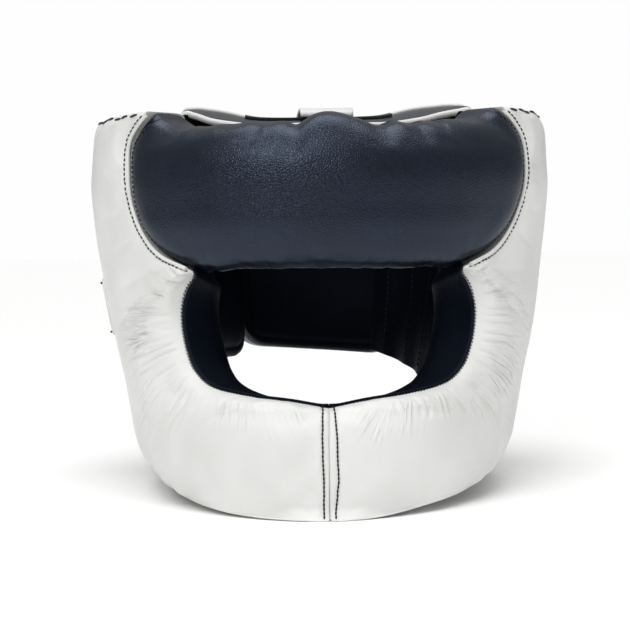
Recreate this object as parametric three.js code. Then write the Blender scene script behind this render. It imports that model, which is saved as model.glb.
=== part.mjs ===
// Padded boxing headgear with a face bar: a leather-covered foam shell that wraps the head, with an
// eye opening between the forehead pad and the bar, a back panel, a crown and two closing straps.
// Millimetres, +Z up, the face looks along -Y, and "right" is +X. The base rests on Z = 0.

import * as THREE from "three";

const { clamp, lerp, smoothstep, degToRad, radToDeg } = THREE.MathUtils;

// Driving dimensions of the shell. The plan outline at any height is an oval about a vertical axis.
const AXIS_Y = 8;
const OVAL_POWER = 2.15;
const LEVELS = [
  { z: 0, halfWidth: 102, front: 149, back: 124 },
  { z: 25, halfWidth: 106, front: 152, back: 126 },
  { z: 57, halfWidth: 111, front: 150, back: 129 },
  { z: 80, halfWidth: 116, front: 143.5, back: 131 },
  { z: 100, halfWidth: 120, front: 134, back: 132 },
  { z: 119, halfWidth: 123, front: 126.5, back: 132 },
  { z: 145, halfWidth: 126.5, front: 123.5, back: 131.5 },
  { z: 168, halfWidth: 128, front: 123, back: 130 },
  { z: 201, halfWidth: 123.5, front: 118, back: 125 },
];

// Layers and clearances.
const SEAM_GAP = 0.4;
const HALF_GAP = SEAM_GAP / 2;
const WELT_GAP = 0.9;
const LINING = 2;
const LINING_SEAT = 0.6;
const LEATHER = 2.6;

// The white side wrap, half of it, from the top of the temple round the cheek to the middle of the bar.
// seam: its border on the forehead pad and then on the eye opening, as seen from the front.
// rim: its border on the ear panel and then along the base, by angle from the front.
// lip: how far the lined wall of the opening reaches past the seam, or back under the white if negative.
// pad: thickness of the foam.
const CORNER_ROW = 6;
const WRAP = [
  { seamX: 94, seamZ: 201, rimDeg: 101, rimZ: 201, lip: 0, pad: 36 },
  { seamX: 106, seamZ: 187, rimDeg: 102, rimZ: 182, lip: 0, pad: 39 },
  { seamX: 108.4, seamZ: 170, rimDeg: 103, rimZ: 157, lip: 0, pad: 41 },
  { seamX: 105, seamZ: 154, rimDeg: 104.5, rimZ: 130, lip: 0, pad: 42 },
  { seamX: 95.5, seamZ: 137.5, rimDeg: 106, rimZ: 104, lip: 0, pad: 42 },
  { seamX: 83.3, seamZ: 126.5, rimDeg: 106.5, rimZ: 80, lip: 0, pad: 42 },
  { seamX: 72, seamZ: 119.6, rimDeg: 106, rimZ: 58, lip: 0, pad: 41 },
  { seamX: 79.3, seamZ: 111.8, rimDeg: 105, rimZ: 34, lip: -1, pad: 41 },
  { seamX: 82.6, seamZ: 100, rimDeg: 102.5, rimZ: 12, lip: -1.5, pad: 41 },
  { seamX: 81.9, seamZ: 89.5, rimDeg: 97, rimZ: 0, lip: -1, pad: 41 },
  { seamX: 79, seamZ: 79.5, rimDeg: 88, rimZ: 0, lip: -1, pad: 40 },
  { seamX: 74, seamZ: 72.3, rimDeg: 76, rimZ: 0, lip: -0.5, pad: 39 },
  { seamX: 63.5, seamZ: 66.3, rimDeg: 61, rimZ: 3.5, lip: -0.5, pad: 38 },
  { seamX: 45, seamZ: 63, rimDeg: 44, rimZ: 5.5, lip: -2, pad: 37 },
  { seamX: 21.5, seamZ: 60, rimDeg: 20, rimZ: 1.5, lip: -3, pad: 36 },
  { seamX: HALF_GAP, seamZ: 56.2, rimDeg: 0.08, rimZ: 0, lip: -3.5, pad: 36 },
];
const LAST_ROW = WRAP.length - 1;
const TOP_Z = 201;
const SQUARE_RUN = 30;
const NORMAL_STEP = 0.5;
const SHORTEST_EDGE = 1e-4;
const MID_Z = 130;

// How far each border drops below the crest of the padding, and over what width it rolls down.
const SEAM_ROLL = { drop: 9, width: 22 };
const OPENING_ROLL = { drop: 11, width: 24 };
const REAR_ROLL = { drop: 6, width: 16 };
const TOP_ROLL = { drop: 4.5, width: 8 };
const CENTRE_ROLL = { drop: 2.2, width: 7 };
const HOLLOW_EDGE = { drop: 8, width: 14 };
const HOLLOW_BASE = { drop: 11, width: 22 };
const HOLLOW_TOP = { drop: 4, width: 7 };
const WALL_SHARE = 0.25;
// The base rolls in far under the jaw, and hardly at all at the bar.
const BASE_ROLL = [
  { row: 0, drop: 18, width: 48 },
  { row: 11, drop: 18, width: 48 },
  { row: 12, drop: 13, width: 34 },
  { row: 13, drop: 6, width: 18 },
  { row: 14, drop: 1, width: 10 },
  { row: 15, drop: 0, width: 8 },
];
const BASE_ROW = 9;

// The forehead pad: its top and bottom borders across half of its width, from the middle to the seam.
const FOREHEAD_PAD = 36;
const FOREHEAD_EDGE = [
  { across: 0, topZ: 197, bottomZ: 121.6 },
  { across: 0.25, topZ: 192.5, bottomZ: 121.5 },
  { across: 0.45, topZ: 192.4, bottomZ: 121.4 },
  { across: 0.65, topZ: 192.8, bottomZ: 121.2 },
  { across: 0.85, topZ: 195.3, bottomZ: 120.6 },
  { across: 1, topZ: 200, bottomZ: 120 },
];
const FOREHEAD_TOP_ROLL = { drop: 12, width: 20 };
const FOREHEAD_BOTTOM_ROLL = { drop: 13, width: 26 };

// The ear panels and the back panel. Their lower corners, and the back's upper ones, are round.
const EAR = { gapDeg: 0.3, toDeg: 154, padFront: 38, padBack: 27, corner: 16 };
const EAR_BOTTOM = { front: 59, back: 64 };
const BACK = { fromDeg: 154.5, pad: 25, bottom: 64, top: 199, corner: 18 };
const PANEL_SIDE_ROLL = { drop: 6, width: 14 };
const PANEL_BOTTOM_ROLL = { drop: 9, width: 16 };
const PANEL_TOP_ROLL = { drop: 9, width: 16 };
const PANEL_INNER_ROLL = { drop: 5, width: 12 };

// The thin ribbed gusset that joins the back panel to the right ear panel, inside.
const GUSSET = { fromDeg: 118, toDeg: 158, top: 176, thick: 2.2, clear: 0.8 };
const GUSSET_BOTTOM = { front: 44, back: 62 };
const GUSSET_RIBS = { count: 3, height: 1.6 };

// The strap that closes the back: sewn to the back panel, round the left ear panel.
const BACK_STRAP = { fromDeg: 89, toDeg: 196, bottom: 82.5, top: 114.5, end: 2.5, seat: 0.3 };

// The crown: two flaps sewn inside the top of the sides, with loop patches and a strap over them.
const CROWN = { fromDeg: 76, toDeg: 144, frontY: -32, backY: 86, meetX: 1, thick: 5 };
const CROWN_DOME = { height: 8, from: 0.12, fadeFrom: 0.18, fadeTo: 0.55, fade: 0.85 };
const CROWN_SEAT = { z: 190, pad: 39.4, clear: 0.9 };
const CROWN_RISE = [
  { inward: 0, rise: 0 },
  { inward: 0.06, rise: 10.5 },
  { inward: 0.13, rise: 11.5 },
  { inward: 0.25, rise: 8 },
  { inward: 0.4, rise: 7 },
  { inward: 0.55, rise: 6.2 },
  { inward: 0.75, rise: 5.5 },
  { inward: 1, rise: 5 },
];
const PATCH = { fromAlong: 0.2, toAlong: 0.72, fromInward: 0.5, toInward: 0.97 };
const PATCH_LAYER = { thick: 1.6, clear: 0.8 };
const CROWN_STRAP_SIDES = { left: -11, right: 18 };
const CROWN_STRAP = [
  { y: -23, z: 200.8 },
  { y: -14, z: 203.4 },
  { y: 0, z: 204.8 },
  { y: 22, z: 205.4 },
  { y: 60, z: 205.2 },
  { y: 88, z: 204 },
  { y: 105, z: 201.8 },
  { y: 115, z: 199.9 },
  { y: 126, z: 199.4 },
];

// Cords: the piping on the crown and the welt in the forehead seams, which stops short of the seam's ends.
const PIPING_RADIUS = 1.9;
const PIPING_SPAN = { from: 0.04, to: 0.98 };
const WELT = { radius: 1.1, depth: -5.4, shiftDeg: 0.22, topRow: 0.25, cornerShort: 0.2 };
const ROUND_SIDES = 8;

// Facets of each piece: steps along it, and steps across.
const STEPS = {
  wrap: [2, 9],
  forehead: [24, 10],
  ear: [8, 10],
  back: [14, 10],
  gusset: [18, 4],
  backStrap: [24, 4],
  crown: [10, 16],
  patch: [8, 6],
  crownStrap: [14, 4],
};
const CORD_STEPS = { welt: 16, piping: 18 };

// Finishes.
const WHITE_LEATHER = { color: 0xe6e6e2, roughness: 0.45, metalness: 0 };
const BLACK_LEATHER = { color: 0x23262d, roughness: 0.42, metalness: 0 };
const BLACK_LINING = { color: 0x12151f, roughness: 0.5, metalness: 0 };
const BLACK_LOOP = { color: 0x0e0f12, roughness: 0.95, metalness: 0 };

const headgear = new THREE.Group();

function add(name, geometry, finish, parent = headgear) {
  const mesh = new THREE.Mesh(geometry, new THREE.MeshStandardMaterial(finish));
  mesh.name = name;
  parent.add(mesh);
}

// A left-hand copy is the right-hand piece mirrored across X.
const leftHand = new THREE.Group();
leftHand.scale.x = -1;
headgear.add(leftHand);

function addPair(name, geometry, finish) {
  add(`${name}_right`, geometry, finish);
  add(`${name}_left`, geometry, finish, leftHand);
}

// A smooth curve through one column of a table, read along another column or along the row number.
function column(rows, value, along) {
  const at = rows.map((row, i) => (along ? row[along] : i));
  const values = rows.map((row) => row[value]);
  const last = rows.length - 1;
  const slope = (i) => {
    const before = Math.max(0, i - 1);
    const after = Math.min(last, i + 1);
    return (values[after] - values[before]) / (at[after] - at[before]);
  };
  return (t) => {
    let i = 0;
    while (i < last - 1 && t > at[i + 1]) i += 1;
    const span = at[i + 1] - at[i];
    const q = clamp((t - at[i]) / span, 0, 1);
    const h1 = q * q * (3 - 2 * q);
    const h2 = q * (1 - q) * (1 - q) * span;
    const h3 = q * q * (q - 1) * span;
    return values[i] * (1 - h1) + values[i + 1] * h1 + slope(i) * h2 + slope(i + 1) * h3;
  };
}

const halfWidthAt = column(LEVELS, "halfWidth", "z");
const frontAt = column(LEVELS, "front", "z");
const backAt = column(LEVELS, "back", "z");

// The crest of the padding at an angle from the front and a height.
function crest(deg, z) {
  const sine = Math.sin(degToRad(deg));
  const cosine = Math.cos(degToRad(deg));
  const reach = cosine > 0 ? frontAt(z) : backAt(z);
  const flat = Math.abs(cosine / reach) ** OVAL_POWER + Math.abs(sine / halfWidthAt(z)) ** OVAL_POWER;
  const radius = flat ** (-1 / OVAL_POWER);
  return new THREE.Vector3(radius * sine, AXIS_Y - radius * cosine, z);
}

// A point at a depth from the crest, along its outward normal: negative is towards the head. Near the
// base and the top the normal turns level, so those borders are flat.
function shell(deg, z, depth) {
  const step = NORMAL_STEP;
  const round = crest(deg + step, z).sub(crest(deg - step, z));
  const up = crest(deg, z + step).sub(crest(deg, z - step));
  const normal = round.cross(up).normalize();
  normal.z *= smoothstep(z, 0, SQUARE_RUN) * smoothstep(TOP_Z - z, 0, SQUARE_RUN);
  return crest(deg, z).addScaledVector(normal.normalize(), depth);
}

// The angle at which the crest lies a distance x to the side, in front of the axis.
function frontDeg(x, z) {
  const share = 1 - (x / halfWidthAt(z)) ** OVAL_POWER;
  return radToDeg(Math.atan2(x, frontAt(z) * share ** (1 / OVAL_POWER)));
}

// A quarter-round border: all of its drop at the border, none from its width inwards.
function roll(border, distance) {
  const q = clamp(distance / border.width, 0, 1);
  return border.drop * (1 - Math.sqrt(1 - (1 - q) ** 2));
}

// Stations crowd towards the borders, where the padding rolls.
const crowded = (i, steps) => (1 - Math.cos((Math.PI * i) / steps)) / 2;

// A closed solid between two faces, each a function of two parameters from 0 to 1, with walls round it.
function slab(outer, inner, [acrossSteps, upSteps]) {
  const faces = [outer, inner].map((face) =>
    Array.from({ length: acrossSteps + 1 }, (_, i) =>
      Array.from({ length: upSteps + 1 }, (__, j) => face(i / acrossSteps, crowded(j, upSteps))),
    ),
  );
  const triangles = [];
  const triangle = (a, b, c) => {
    const shortest = Math.min(a.distanceTo(b), b.distanceTo(c), c.distanceTo(a));
    if (shortest > SHORTEST_EDGE) triangles.push(a, b, c);
  };
  const quad = (a, b, c, d) => {
    triangle(a, b, c);
    triangle(a, c, d);
  };
  const [top, low] = faces;
  for (let i = 0; i < acrossSteps; i += 1) {
    for (let j = 0; j < upSteps; j += 1) {
      quad(top[i][j], top[i + 1][j], top[i + 1][j + 1], top[i][j + 1]);
      quad(low[i][j], low[i][j + 1], low[i + 1][j + 1], low[i + 1][j]);
    }
    quad(top[i + 1][0], top[i][0], low[i][0], low[i + 1][0]);
    quad(top[i][upSteps], top[i + 1][upSteps], low[i + 1][upSteps], low[i][upSteps]);
  }
  for (let j = 0; j < upSteps; j += 1) {
    quad(top[0][j], top[0][j + 1], low[0][j + 1], low[0][j]);
    quad(top[acrossSteps][j + 1], top[acrossSteps][j], low[acrossSteps][j], low[acrossSteps][j + 1]);
  }
  return outwards(triangles);
}

// A geometry from triangles, turned round if they face inwards.
function outwards(triangles) {
  let volume = 0;
  for (let i = 0; i < triangles.length; i += 3) {
    volume += triangles[i].dot(triangles[i + 1].clone().cross(triangles[i + 2]));
  }
  const ordered = volume > 0 ? triangles : triangles.toReversed();
  const geometry = new THREE.BufferGeometry().setFromPoints(ordered);
  geometry.computeVertexNormals();
  return geometry;
}

// A round cord through points.
function cord(points, radius, steps) {
  const section = new THREE.Shape();
  for (let i = 0; i < ROUND_SIDES; i += 1) {
    const turn = (2 * Math.PI * i) / ROUND_SIDES;
    const [x, y] = [radius * Math.cos(turn), radius * Math.sin(turn)];
    if (i === 0) section.moveTo(x, y);
    else section.lineTo(x, y);
  }
  section.closePath();
  const extrudePath = new THREE.CatmullRomCurve3(points);
  return new THREE.ExtrudeGeometry(section, { extrudePath, steps });
}

// The side wrap. Its seam turns a sharp corner where the forehead pad ends, so each side of the corner has
// its own curve.
const aboveRows = WRAP.slice(0, CORNER_ROW + 1);
const belowRows = WRAP.slice(CORNER_ROW);
const seamAbove = { x: column(aboveRows, "seamX"), z: column(aboveRows, "seamZ") };
const seamBelow = { x: column(belowRows, "seamX"), z: column(belowRows, "seamZ") };
const rimDegAt = column(WRAP, "rimDeg");
const rimZAt = column(WRAP, "rimZ");
const padAt = column(WRAP, "pad");
const lipAt = column(WRAP, "lip");

function seamAt(row) {
  const part = row < CORNER_ROW ? seamAbove : seamBelow;
  const t = row < CORNER_ROW ? row : row - CORNER_ROW;
  const z = part.z(t);
  return { deg: frontDeg(part.x(t), z), z };
}

// A place on the wrap: a row, a distance from the seam towards the rim, and a depth.
function wrapLine(row) {
  const seam = seamAt(row);
  const rim = { deg: rimDegAt(row), z: Math.max(0, rimZAt(row)) };
  const width = crest(seam.deg, seam.z).distanceTo(crest(rim.deg, rim.z));
  const place = (from) => ({
    deg: lerp(seam.deg, rim.deg, from / width),
    z: lerp(seam.z, rim.z, from / width),
  });
  return { width, place };
}

// Blends two border rolls, as the seam passes the corner or the rim reaches the base.
function between(one, other, share) {
  const q = smoothstep(share, 0, 1);
  return { drop: lerp(one.drop, other.drop, q), width: lerp(one.width, other.width, q) };
}

const seamRollAt = (row) => between(SEAM_ROLL, OPENING_ROLL, row - CORNER_ROW + 0.5);
const baseDropAt = column(BASE_ROLL, "drop", "row");
const baseWidthAt = column(BASE_ROLL, "width", "row");
const rimRollAt = (row) => {
  const base = { drop: baseDropAt(row), width: baseWidthAt(row) };
  return between(REAR_ROLL, base, (row - CORNER_ROW) / (BASE_ROW - CORNER_ROW));
};
const hollowRimAt = (row) =>
  between(PANEL_INNER_ROLL, HOLLOW_BASE, (row - CORNER_ROW) / (BASE_ROW - CORNER_ROW));

function wrapDepth(row, from) {
  const { width, place } = wrapLine(row);
  const { deg, z } = place(from);
  const sideways = Math.abs(crest(deg, z).x);
  const middle = row > LAST_ROW - 2 ? roll(CENTRE_ROLL, sideways) : 0;
  const borders = roll(seamRollAt(row), from) + roll(rimRollAt(row), width - from);
  return -borders - roll(TOP_ROLL, TOP_Z - z) - middle;
}

function wrapOuter(row, across) {
  const { width, place } = wrapLine(row);
  const { deg, z } = place(across * width);
  return shell(deg, z, wrapDepth(row, across * width));
}

// The wrap's hidden face: down the wall of the opening and then along the hollow of the head.
function wrapInner(row, across) {
  const { width, place } = wrapLine(row);
  const lip = lipAt(row);
  const edge = HOLLOW_EDGE.drop - padAt(row);
  if (across < WALL_SHARE) {
    const q = across / WALL_SHARE;
    const { deg, z } = place(-lip * q);
    return shell(deg, z, lerp(wrapDepth(row, 0), edge, q) + roll(HOLLOW_TOP, TOP_Z - z));
  }
  const from = lerp(-lip, width, (across - WALL_SHARE) / (1 - WALL_SHARE));
  const { deg, z } = place(from);
  const rises = roll(HOLLOW_EDGE, from + lip) + roll(hollowRimAt(row), width - from);
  return shell(deg, z, rises - padAt(row) + roll(HOLLOW_TOP, TOP_Z - z));
}

// The hidden face moved off the padding by a skin, level at the base and the top and upright at the bar's
// middle, so that those borders stay flat.
function wrapSkin(row, across, skin) {
  const step = 0.03;
  const near = (value, last) => [Math.max(0, value - step), Math.min(last, value + step)];
  const [up, down] = near(row, LAST_ROW).map((r) => wrapInner(r, across));
  const [seamward, rimward] = near(across, 1).map((a) => wrapInner(row, a));
  const normal = rimward.sub(seamward).cross(down.sub(up)).normalize();
  const place = wrapInner(row, across);
  normal.z *= smoothstep(place.z, 0, SQUARE_RUN / 2) * smoothstep(TOP_Z - place.z, 0, SQUARE_RUN / 2);
  if (row === LAST_ROW) normal.x = 0;
  return place.addScaledVector(normal.normalize(), skin);
}

const [stepsARow, stepsAcross] = STEPS.wrap;
const wrapSteps = [LAST_ROW * stepsARow, stepsAcross];
const wrapFace = (u, v) => wrapOuter(u * LAST_ROW, v);
const wrapBack = (u, v) => wrapInner(u * LAST_ROW, v);
addPair("side_wrap", slab(wrapFace, wrapBack, wrapSteps), WHITE_LEATHER);

// The lining covers the wall of the opening, but not the seam with the forehead pad, and it stops short
// of the base, so the padding alone meets the ground. It stands off a little in the opening's upper corner.
const LINING_START = 0.02;
const LINING_END = 0.97;
const SEAM_CLEAR = 0.05;
const CORNER_EASE = 2.2;
const CORNER_RUN = 1.6;
function liningFace(skin) {
  return (u, v) => {
    const row = u * LAST_ROW;
    const open = smoothstep(row - CORNER_ROW, 0, CORNER_RUN / 2);
    const shut = SEAM_CLEAR * smoothstep(CORNER_ROW - row, 0, 1);
    const start = lerp(WALL_SHARE, LINING_START, open) + shut;
    const ease = CORNER_EASE * Math.sin(Math.PI * clamp((row - CORNER_ROW) / CORNER_RUN, 0, 1));
    return wrapSkin(row, clamp(v, start, LINING_END), skin + ease);
  };
}
const liningSlab = slab(liningFace(LINING_SEAT), liningFace(LINING_SEAT + LINING), wrapSteps);
addPair("side_lining", liningSlab, BLACK_LINING);

// The forehead pad.
const foreheadTopAt = column(FOREHEAD_EDGE, "topZ", "across");
const foreheadBottomAt = column(FOREHEAD_EDGE, "bottomZ", "across");
const seamXByZ = column([...aboveRows].reverse(), "seamX", "seamZ");

function foreheadPlace(u, v) {
  const across = 2 * u - 1;
  const z = lerp(foreheadBottomAt(Math.abs(across)), foreheadTopAt(Math.abs(across)), v);
  const seamZ = lerp(aboveRows[CORNER_ROW].seamZ, aboveRows[0].seamZ, v);
  const seamX = seamXByZ(seamZ) - WELT_GAP;
  return { deg: across * frontDeg(seamX, seamZ), z, across };
}

function foreheadFace(inner) {
  return (u, v) => {
    const { deg, z, across } = foreheadPlace(u, v);
    const edge = Math.abs(across);
    const here = crest(deg, z);
    const border = foreheadPlace(across > 0 ? 1 : 0, v);
    const toSeam = here.distanceTo(crest(border.deg, border.z));
    const toTop = foreheadTopAt(edge) - z;
    const toBottom = z - foreheadBottomAt(edge);
    if (inner) {
      const rise = roll(HOLLOW_EDGE, toTop) + roll(HOLLOW_EDGE, toBottom) + roll(PANEL_INNER_ROLL, toSeam);
      return shell(deg, z, rise - FOREHEAD_PAD);
    }
    const ends = roll(FOREHEAD_TOP_ROLL, toTop) + roll(FOREHEAD_BOTTOM_ROLL, toBottom);
    return shell(deg, z, -ends - roll(SEAM_ROLL, toSeam));
  };
}

const foreheadSlab = slab(foreheadFace(false), foreheadFace(true), STEPS.forehead);
add("forehead_pad", foreheadSlab, BLACK_LEATHER);

// A thin white welt lies in the valley of each forehead seam.
const weltPoints = aboveRows.map((_, row) => {
  const { deg, z } = seamAt(clamp(row, WELT.topRow, CORNER_ROW - WELT.cornerShort));
  return shell(deg - WELT.shiftDeg, z, WELT.depth - roll(TOP_ROLL, TOP_Z - z));
});
addPair("forehead_welt", cord(weltPoints, WELT.radius, CORD_STEPS.welt), WHITE_LEATHER);

// The ear panels.
function roundCorner(size, distance) {
  const q = clamp(1 - distance / size, 0, 1);
  return size * (1 - Math.sqrt(1 - q * q));
}

// The rear rim of the wrap by height, above the free edge of the jaw.
const rearRows = WRAP.slice(0, CORNER_ROW + 1).reverse();
const rearDegAt = column(rearRows, "rimDeg", "rimZ");

function earPlace(u, v) {
  const length = crest(rearDegAt(TOP_Z), MID_Z).distanceTo(crest(EAR.toDeg, MID_Z));
  const low = lerp(EAR_BOTTOM.front, EAR_BOTTOM.back, u) + roundCorner(EAR.corner, (1 - u) * length);
  const z = lerp(low, TOP_Z, v);
  const deg = lerp(rearDegAt(z) + EAR.gapDeg, EAR.toDeg, u);
  return { deg, z, low, toFront: u * length, toBack: (1 - u) * length };
}

function earFace(inner, skin = 0) {
  return (u, v) => {
    const { deg, z, low, toFront, toBack } = earPlace(u, v);
    const side = inner ? PANEL_INNER_ROLL : PANEL_SIDE_ROLL;
    const ends = roll(side, toFront) + roll(side, toBack);
    const bottom = roll(inner ? PANEL_INNER_ROLL : PANEL_BOTTOM_ROLL, z - low);
    const top = roll(inner ? HOLLOW_TOP : TOP_ROLL, TOP_Z - z);
    const sum = ends + bottom + top;
    return shell(deg, z, inner ? sum - lerp(EAR.padFront, EAR.padBack, u) - skin : -sum);
  };
}

addPair("ear_panel", slab(earFace(false), earFace(true), STEPS.ear), WHITE_LEATHER);
const inset = (q) => clamp(q, 1 - LINING_END, LINING_END);
const earSkin = (skin) => (u, v) => earFace(true, skin)(inset(u), inset(v));
const earLining = [earSkin(LINING_SEAT), earSkin(LINING_SEAT + LINING)];
addPair("ear_lining", slab(...earLining, STEPS.ear), BLACK_LINING);

// The back panel.
function backFace(inner) {
  return (u, v) => {
    const deg = lerp(BACK.fromDeg, 360 - BACK.fromDeg, u);
    const length = crest(BACK.fromDeg, MID_Z).distanceTo(crest(360 - BACK.fromDeg, MID_Z));
    const toSide = Math.min(u, 1 - u) * length;
    const low = BACK.bottom + roundCorner(BACK.corner, toSide);
    const high = BACK.top - roundCorner(BACK.corner, toSide);
    const z = lerp(low, high, v);
    const borders = inner
      ? roll(PANEL_INNER_ROLL, toSide) + roll(PANEL_INNER_ROLL, z - low) + roll(PANEL_INNER_ROLL, high - z)
      : roll(PANEL_SIDE_ROLL, toSide) + roll(PANEL_BOTTOM_ROLL, z - low) + roll(PANEL_TOP_ROLL, high - z);
    return shell(deg, z, inner ? borders - BACK.pad : -borders);
  };
}

add("back_panel", slab(backFace(false), backFace(true), STEPS.back), BLACK_LEATHER);

// The gusset lies on the linings of the right ear panel and the back panel, with upright ribs.
function gussetFace(skin) {
  return (u, v) => {
    const deg = lerp(GUSSET.fromDeg, GUSSET.toDeg, u);
    const z = lerp(lerp(GUSSET_BOTTOM.front, GUSSET_BOTTOM.back, u), GUSSET.top, v);
    const panelShare = clamp((deg - rearDegAt(z)) / (EAR.toDeg - rearDegAt(z)), 0, 1);
    const seat = lerp(EAR.padFront, EAR.padBack, panelShare) + LINING + LINING_SEAT + GUSSET.clear;
    const rib = GUSSET_RIBS.height * Math.sin(Math.PI * GUSSET_RIBS.count * u) ** 2;
    return shell(deg, z, -seat - skin - (skin > 0 ? rib : 0));
  };
}

add("back_gusset", slab(gussetFace(0), gussetFace(GUSSET.thick), STEPS.gusset), BLACK_LINING);

// The back strap.
function backStrapFace(depth) {
  return (u, v) => {
    const { fromDeg, toDeg, bottom, top, end } = BACK_STRAP;
    const length = crest(fromDeg, top).distanceTo(crest(toDeg, top));
    const cut = roundCorner(end, u * length);
    return shell(-lerp(fromDeg, toDeg, u), lerp(bottom + cut, top - cut, v), depth);
  };
}

const backStrap = [backStrapFace(BACK_STRAP.seat + LEATHER), backStrapFace(BACK_STRAP.seat)];
add("back_strap", slab(...backStrap, STEPS.backStrap), WHITE_LEATHER);

// The crown.
const crownRiseAt = column(CROWN_RISE, "rise", "inward");

// A place on the crown's lower face: along from front to back, and inward from the side to the middle.
function crownPlace(along, inward) {
  const deg = lerp(CROWN.fromDeg, CROWN.toDeg, along);
  const ear = clamp((deg - rearDegAt(TOP_Z)) / (EAR.toDeg - rearDegAt(TOP_Z)), 0, 1);
  const pad = deg < rearDegAt(TOP_Z) ? CROWN_SEAT.pad : lerp(EAR.padFront, EAR.padBack, ear);
  const side = shell(deg, CROWN_SEAT.z, -pad - LINING - LINING_SEAT - CROWN_SEAT.clear);
  const middle = new THREE.Vector3(CROWN.meetX, lerp(CROWN.frontY, CROWN.backY, along), CROWN_SEAT.z);
  const place = side.lerp(middle, inward);
  const { height, from, fadeFrom, fadeTo, fade } = CROWN_DOME;
  const dome = height * Math.sin(Math.PI * along) * smoothstep(inward, 0, from);
  place.z += crownRiseAt(inward) + dome * (1 - fade * smoothstep(inward, fadeFrom, fadeTo));
  return place;
}

const raised = (place, height) => place.setZ(place.z + height);
const crownFace = (height) => (along, inward) => raised(crownPlace(along, inward), height);
addPair("crown_flap", slab(crownFace(CROWN.thick), crownFace(0), STEPS.crown), BLACK_LEATHER);

// White piping along the front border of each flap.
const pipingPoints = CROWN_RISE.map(({ inward }) => {
  const place = crownPlace(0, lerp(PIPING_SPAN.from, PIPING_SPAN.to, inward));
  place.y -= PIPING_RADIUS + SEAM_GAP;
  return raised(place, CROWN.thick / 2);
});
addPair("crown_piping", cord(pipingPoints, PIPING_RADIUS, CORD_STEPS.piping), WHITE_LEATHER);

// Loop patches lie on the flaps, and the crown strap on the patches.
function patchFace(height) {
  return (u, v) => {
    const along = lerp(PATCH.fromAlong, PATCH.toAlong, u);
    const inward = lerp(PATCH.fromInward, PATCH.toInward, v);
    return raised(crownPlace(along, inward), CROWN.thick + height);
  };
}
const patchTop = patchFace(PATCH_LAYER.clear + PATCH_LAYER.thick);
addPair("loop_patch", slab(patchTop, patchFace(PATCH_LAYER.clear), STEPS.patch), BLACK_LOOP);

const strapHeightAt = column(CROWN_STRAP, "z", "y");
function crownStrapFace(height) {
  return (u, v) => {
    const y = lerp(CROWN_STRAP[0].y, CROWN_STRAP.at(-1).y, u);
    const x = lerp(CROWN_STRAP_SIDES.left, CROWN_STRAP_SIDES.right, v);
    return new THREE.Vector3(x, y, strapHeightAt(y) + height);
  };
}
add("crown_strap", slab(crownStrapFace(LEATHER), crownStrapFace(0), STEPS.crownStrap), WHITE_LEATHER);

export default headgear;
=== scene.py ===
# %% [markdown]
# # A padded boxing headgear
# The real thing is leather sewn over sheets of foam: a black forehead pad, white sides that run on
# into a bar in front of the face, and panels behind that close with straps. The CAD model gives each
# piece's size and place. This lesson dresses those solids: it swells the pads, presses in creases,
# lays the stitches and gives each material its grain.

import math

import bmesh
import bpy
import numpy as np
from mathutils import Euler, Matrix, Vector
from mathutils.bvhtree import BVHTree


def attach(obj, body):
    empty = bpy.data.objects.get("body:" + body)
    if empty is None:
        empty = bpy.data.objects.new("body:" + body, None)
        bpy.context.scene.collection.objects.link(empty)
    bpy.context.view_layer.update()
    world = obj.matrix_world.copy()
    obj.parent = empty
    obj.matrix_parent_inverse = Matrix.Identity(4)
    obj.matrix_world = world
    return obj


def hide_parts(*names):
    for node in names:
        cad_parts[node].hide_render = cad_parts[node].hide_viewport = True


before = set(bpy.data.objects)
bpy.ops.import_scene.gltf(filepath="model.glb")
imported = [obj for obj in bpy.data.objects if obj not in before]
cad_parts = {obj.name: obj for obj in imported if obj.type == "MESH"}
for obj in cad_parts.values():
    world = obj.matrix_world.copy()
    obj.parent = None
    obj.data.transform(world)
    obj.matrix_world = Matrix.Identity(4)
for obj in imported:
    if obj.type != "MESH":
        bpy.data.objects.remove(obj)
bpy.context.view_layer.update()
MM = 0.001

# %% [markdown]
# ## The form that the pads follow
# Every pad is a piece of one shell round the head, so it helps to describe that shell once. At each
# height its plan is an oval, and a short table gives the half width and the reach to the front and the
# back. A place on it is an angle from the front, a height and a depth below the crest of the padding.
# A sculpted mesh would also do, but then two neighbours would never share exactly the same seam.

# %% The shell
AXIS_Y = 8.0
OVAL = 2.15
TOP_Z = 201.0
LEVEL_WITHIN = 30.0
LEVEL_Z = [0, 25, 57, 80, 100, 119, 145, 168, 201]
HALF_WIDTH = [100.8, 104.8, 109.8, 114.8, 118.8, 121.8, 125.4, 127, 122.4]
FRONT_REACH = [149, 152, 150, 143.5, 134, 126.5, 123.5, 123, 118]
BACK_REACH = [124, 126, 129, 131, 132, 132, 131.5, 130, 125]


def through(at, values):
    """A smooth curve through a table's values, as a function that reads arrays."""
    at = np.asarray(at, float)
    values = np.asarray(values, float)
    slope = np.gradient(values)
    slope[1:-1] = (values[2:] - values[:-2]) / (at[2:] - at[:-2])
    slope[0] = (values[1] - values[0]) / (at[1] - at[0])
    slope[-1] = (values[-1] - values[-2]) / (at[-1] - at[-2])

    def read(t):
        t = np.clip(np.asarray(t, float), at[0], at[-1])
        i = np.clip(np.searchsorted(at, t, side="right") - 1, 0, len(at) - 2)
        span = at[i + 1] - at[i]
        q = (t - at[i]) / span
        ease = q * q * (3 - 2 * q)
        bend = slope[i] * q * (1 - q) ** 2 + slope[i + 1] * q * q * (q - 1)
        return values[i] * (1 - ease) + values[i + 1] * ease + bend * span

    return read


half_width_at = through(LEVEL_Z, HALF_WIDTH)
front_at = through(LEVEL_Z, FRONT_REACH)
back_at = through(LEVEL_Z, BACK_REACH)


print("half width in mm at 168 mm:", round(float(half_width_at(168))))

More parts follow.
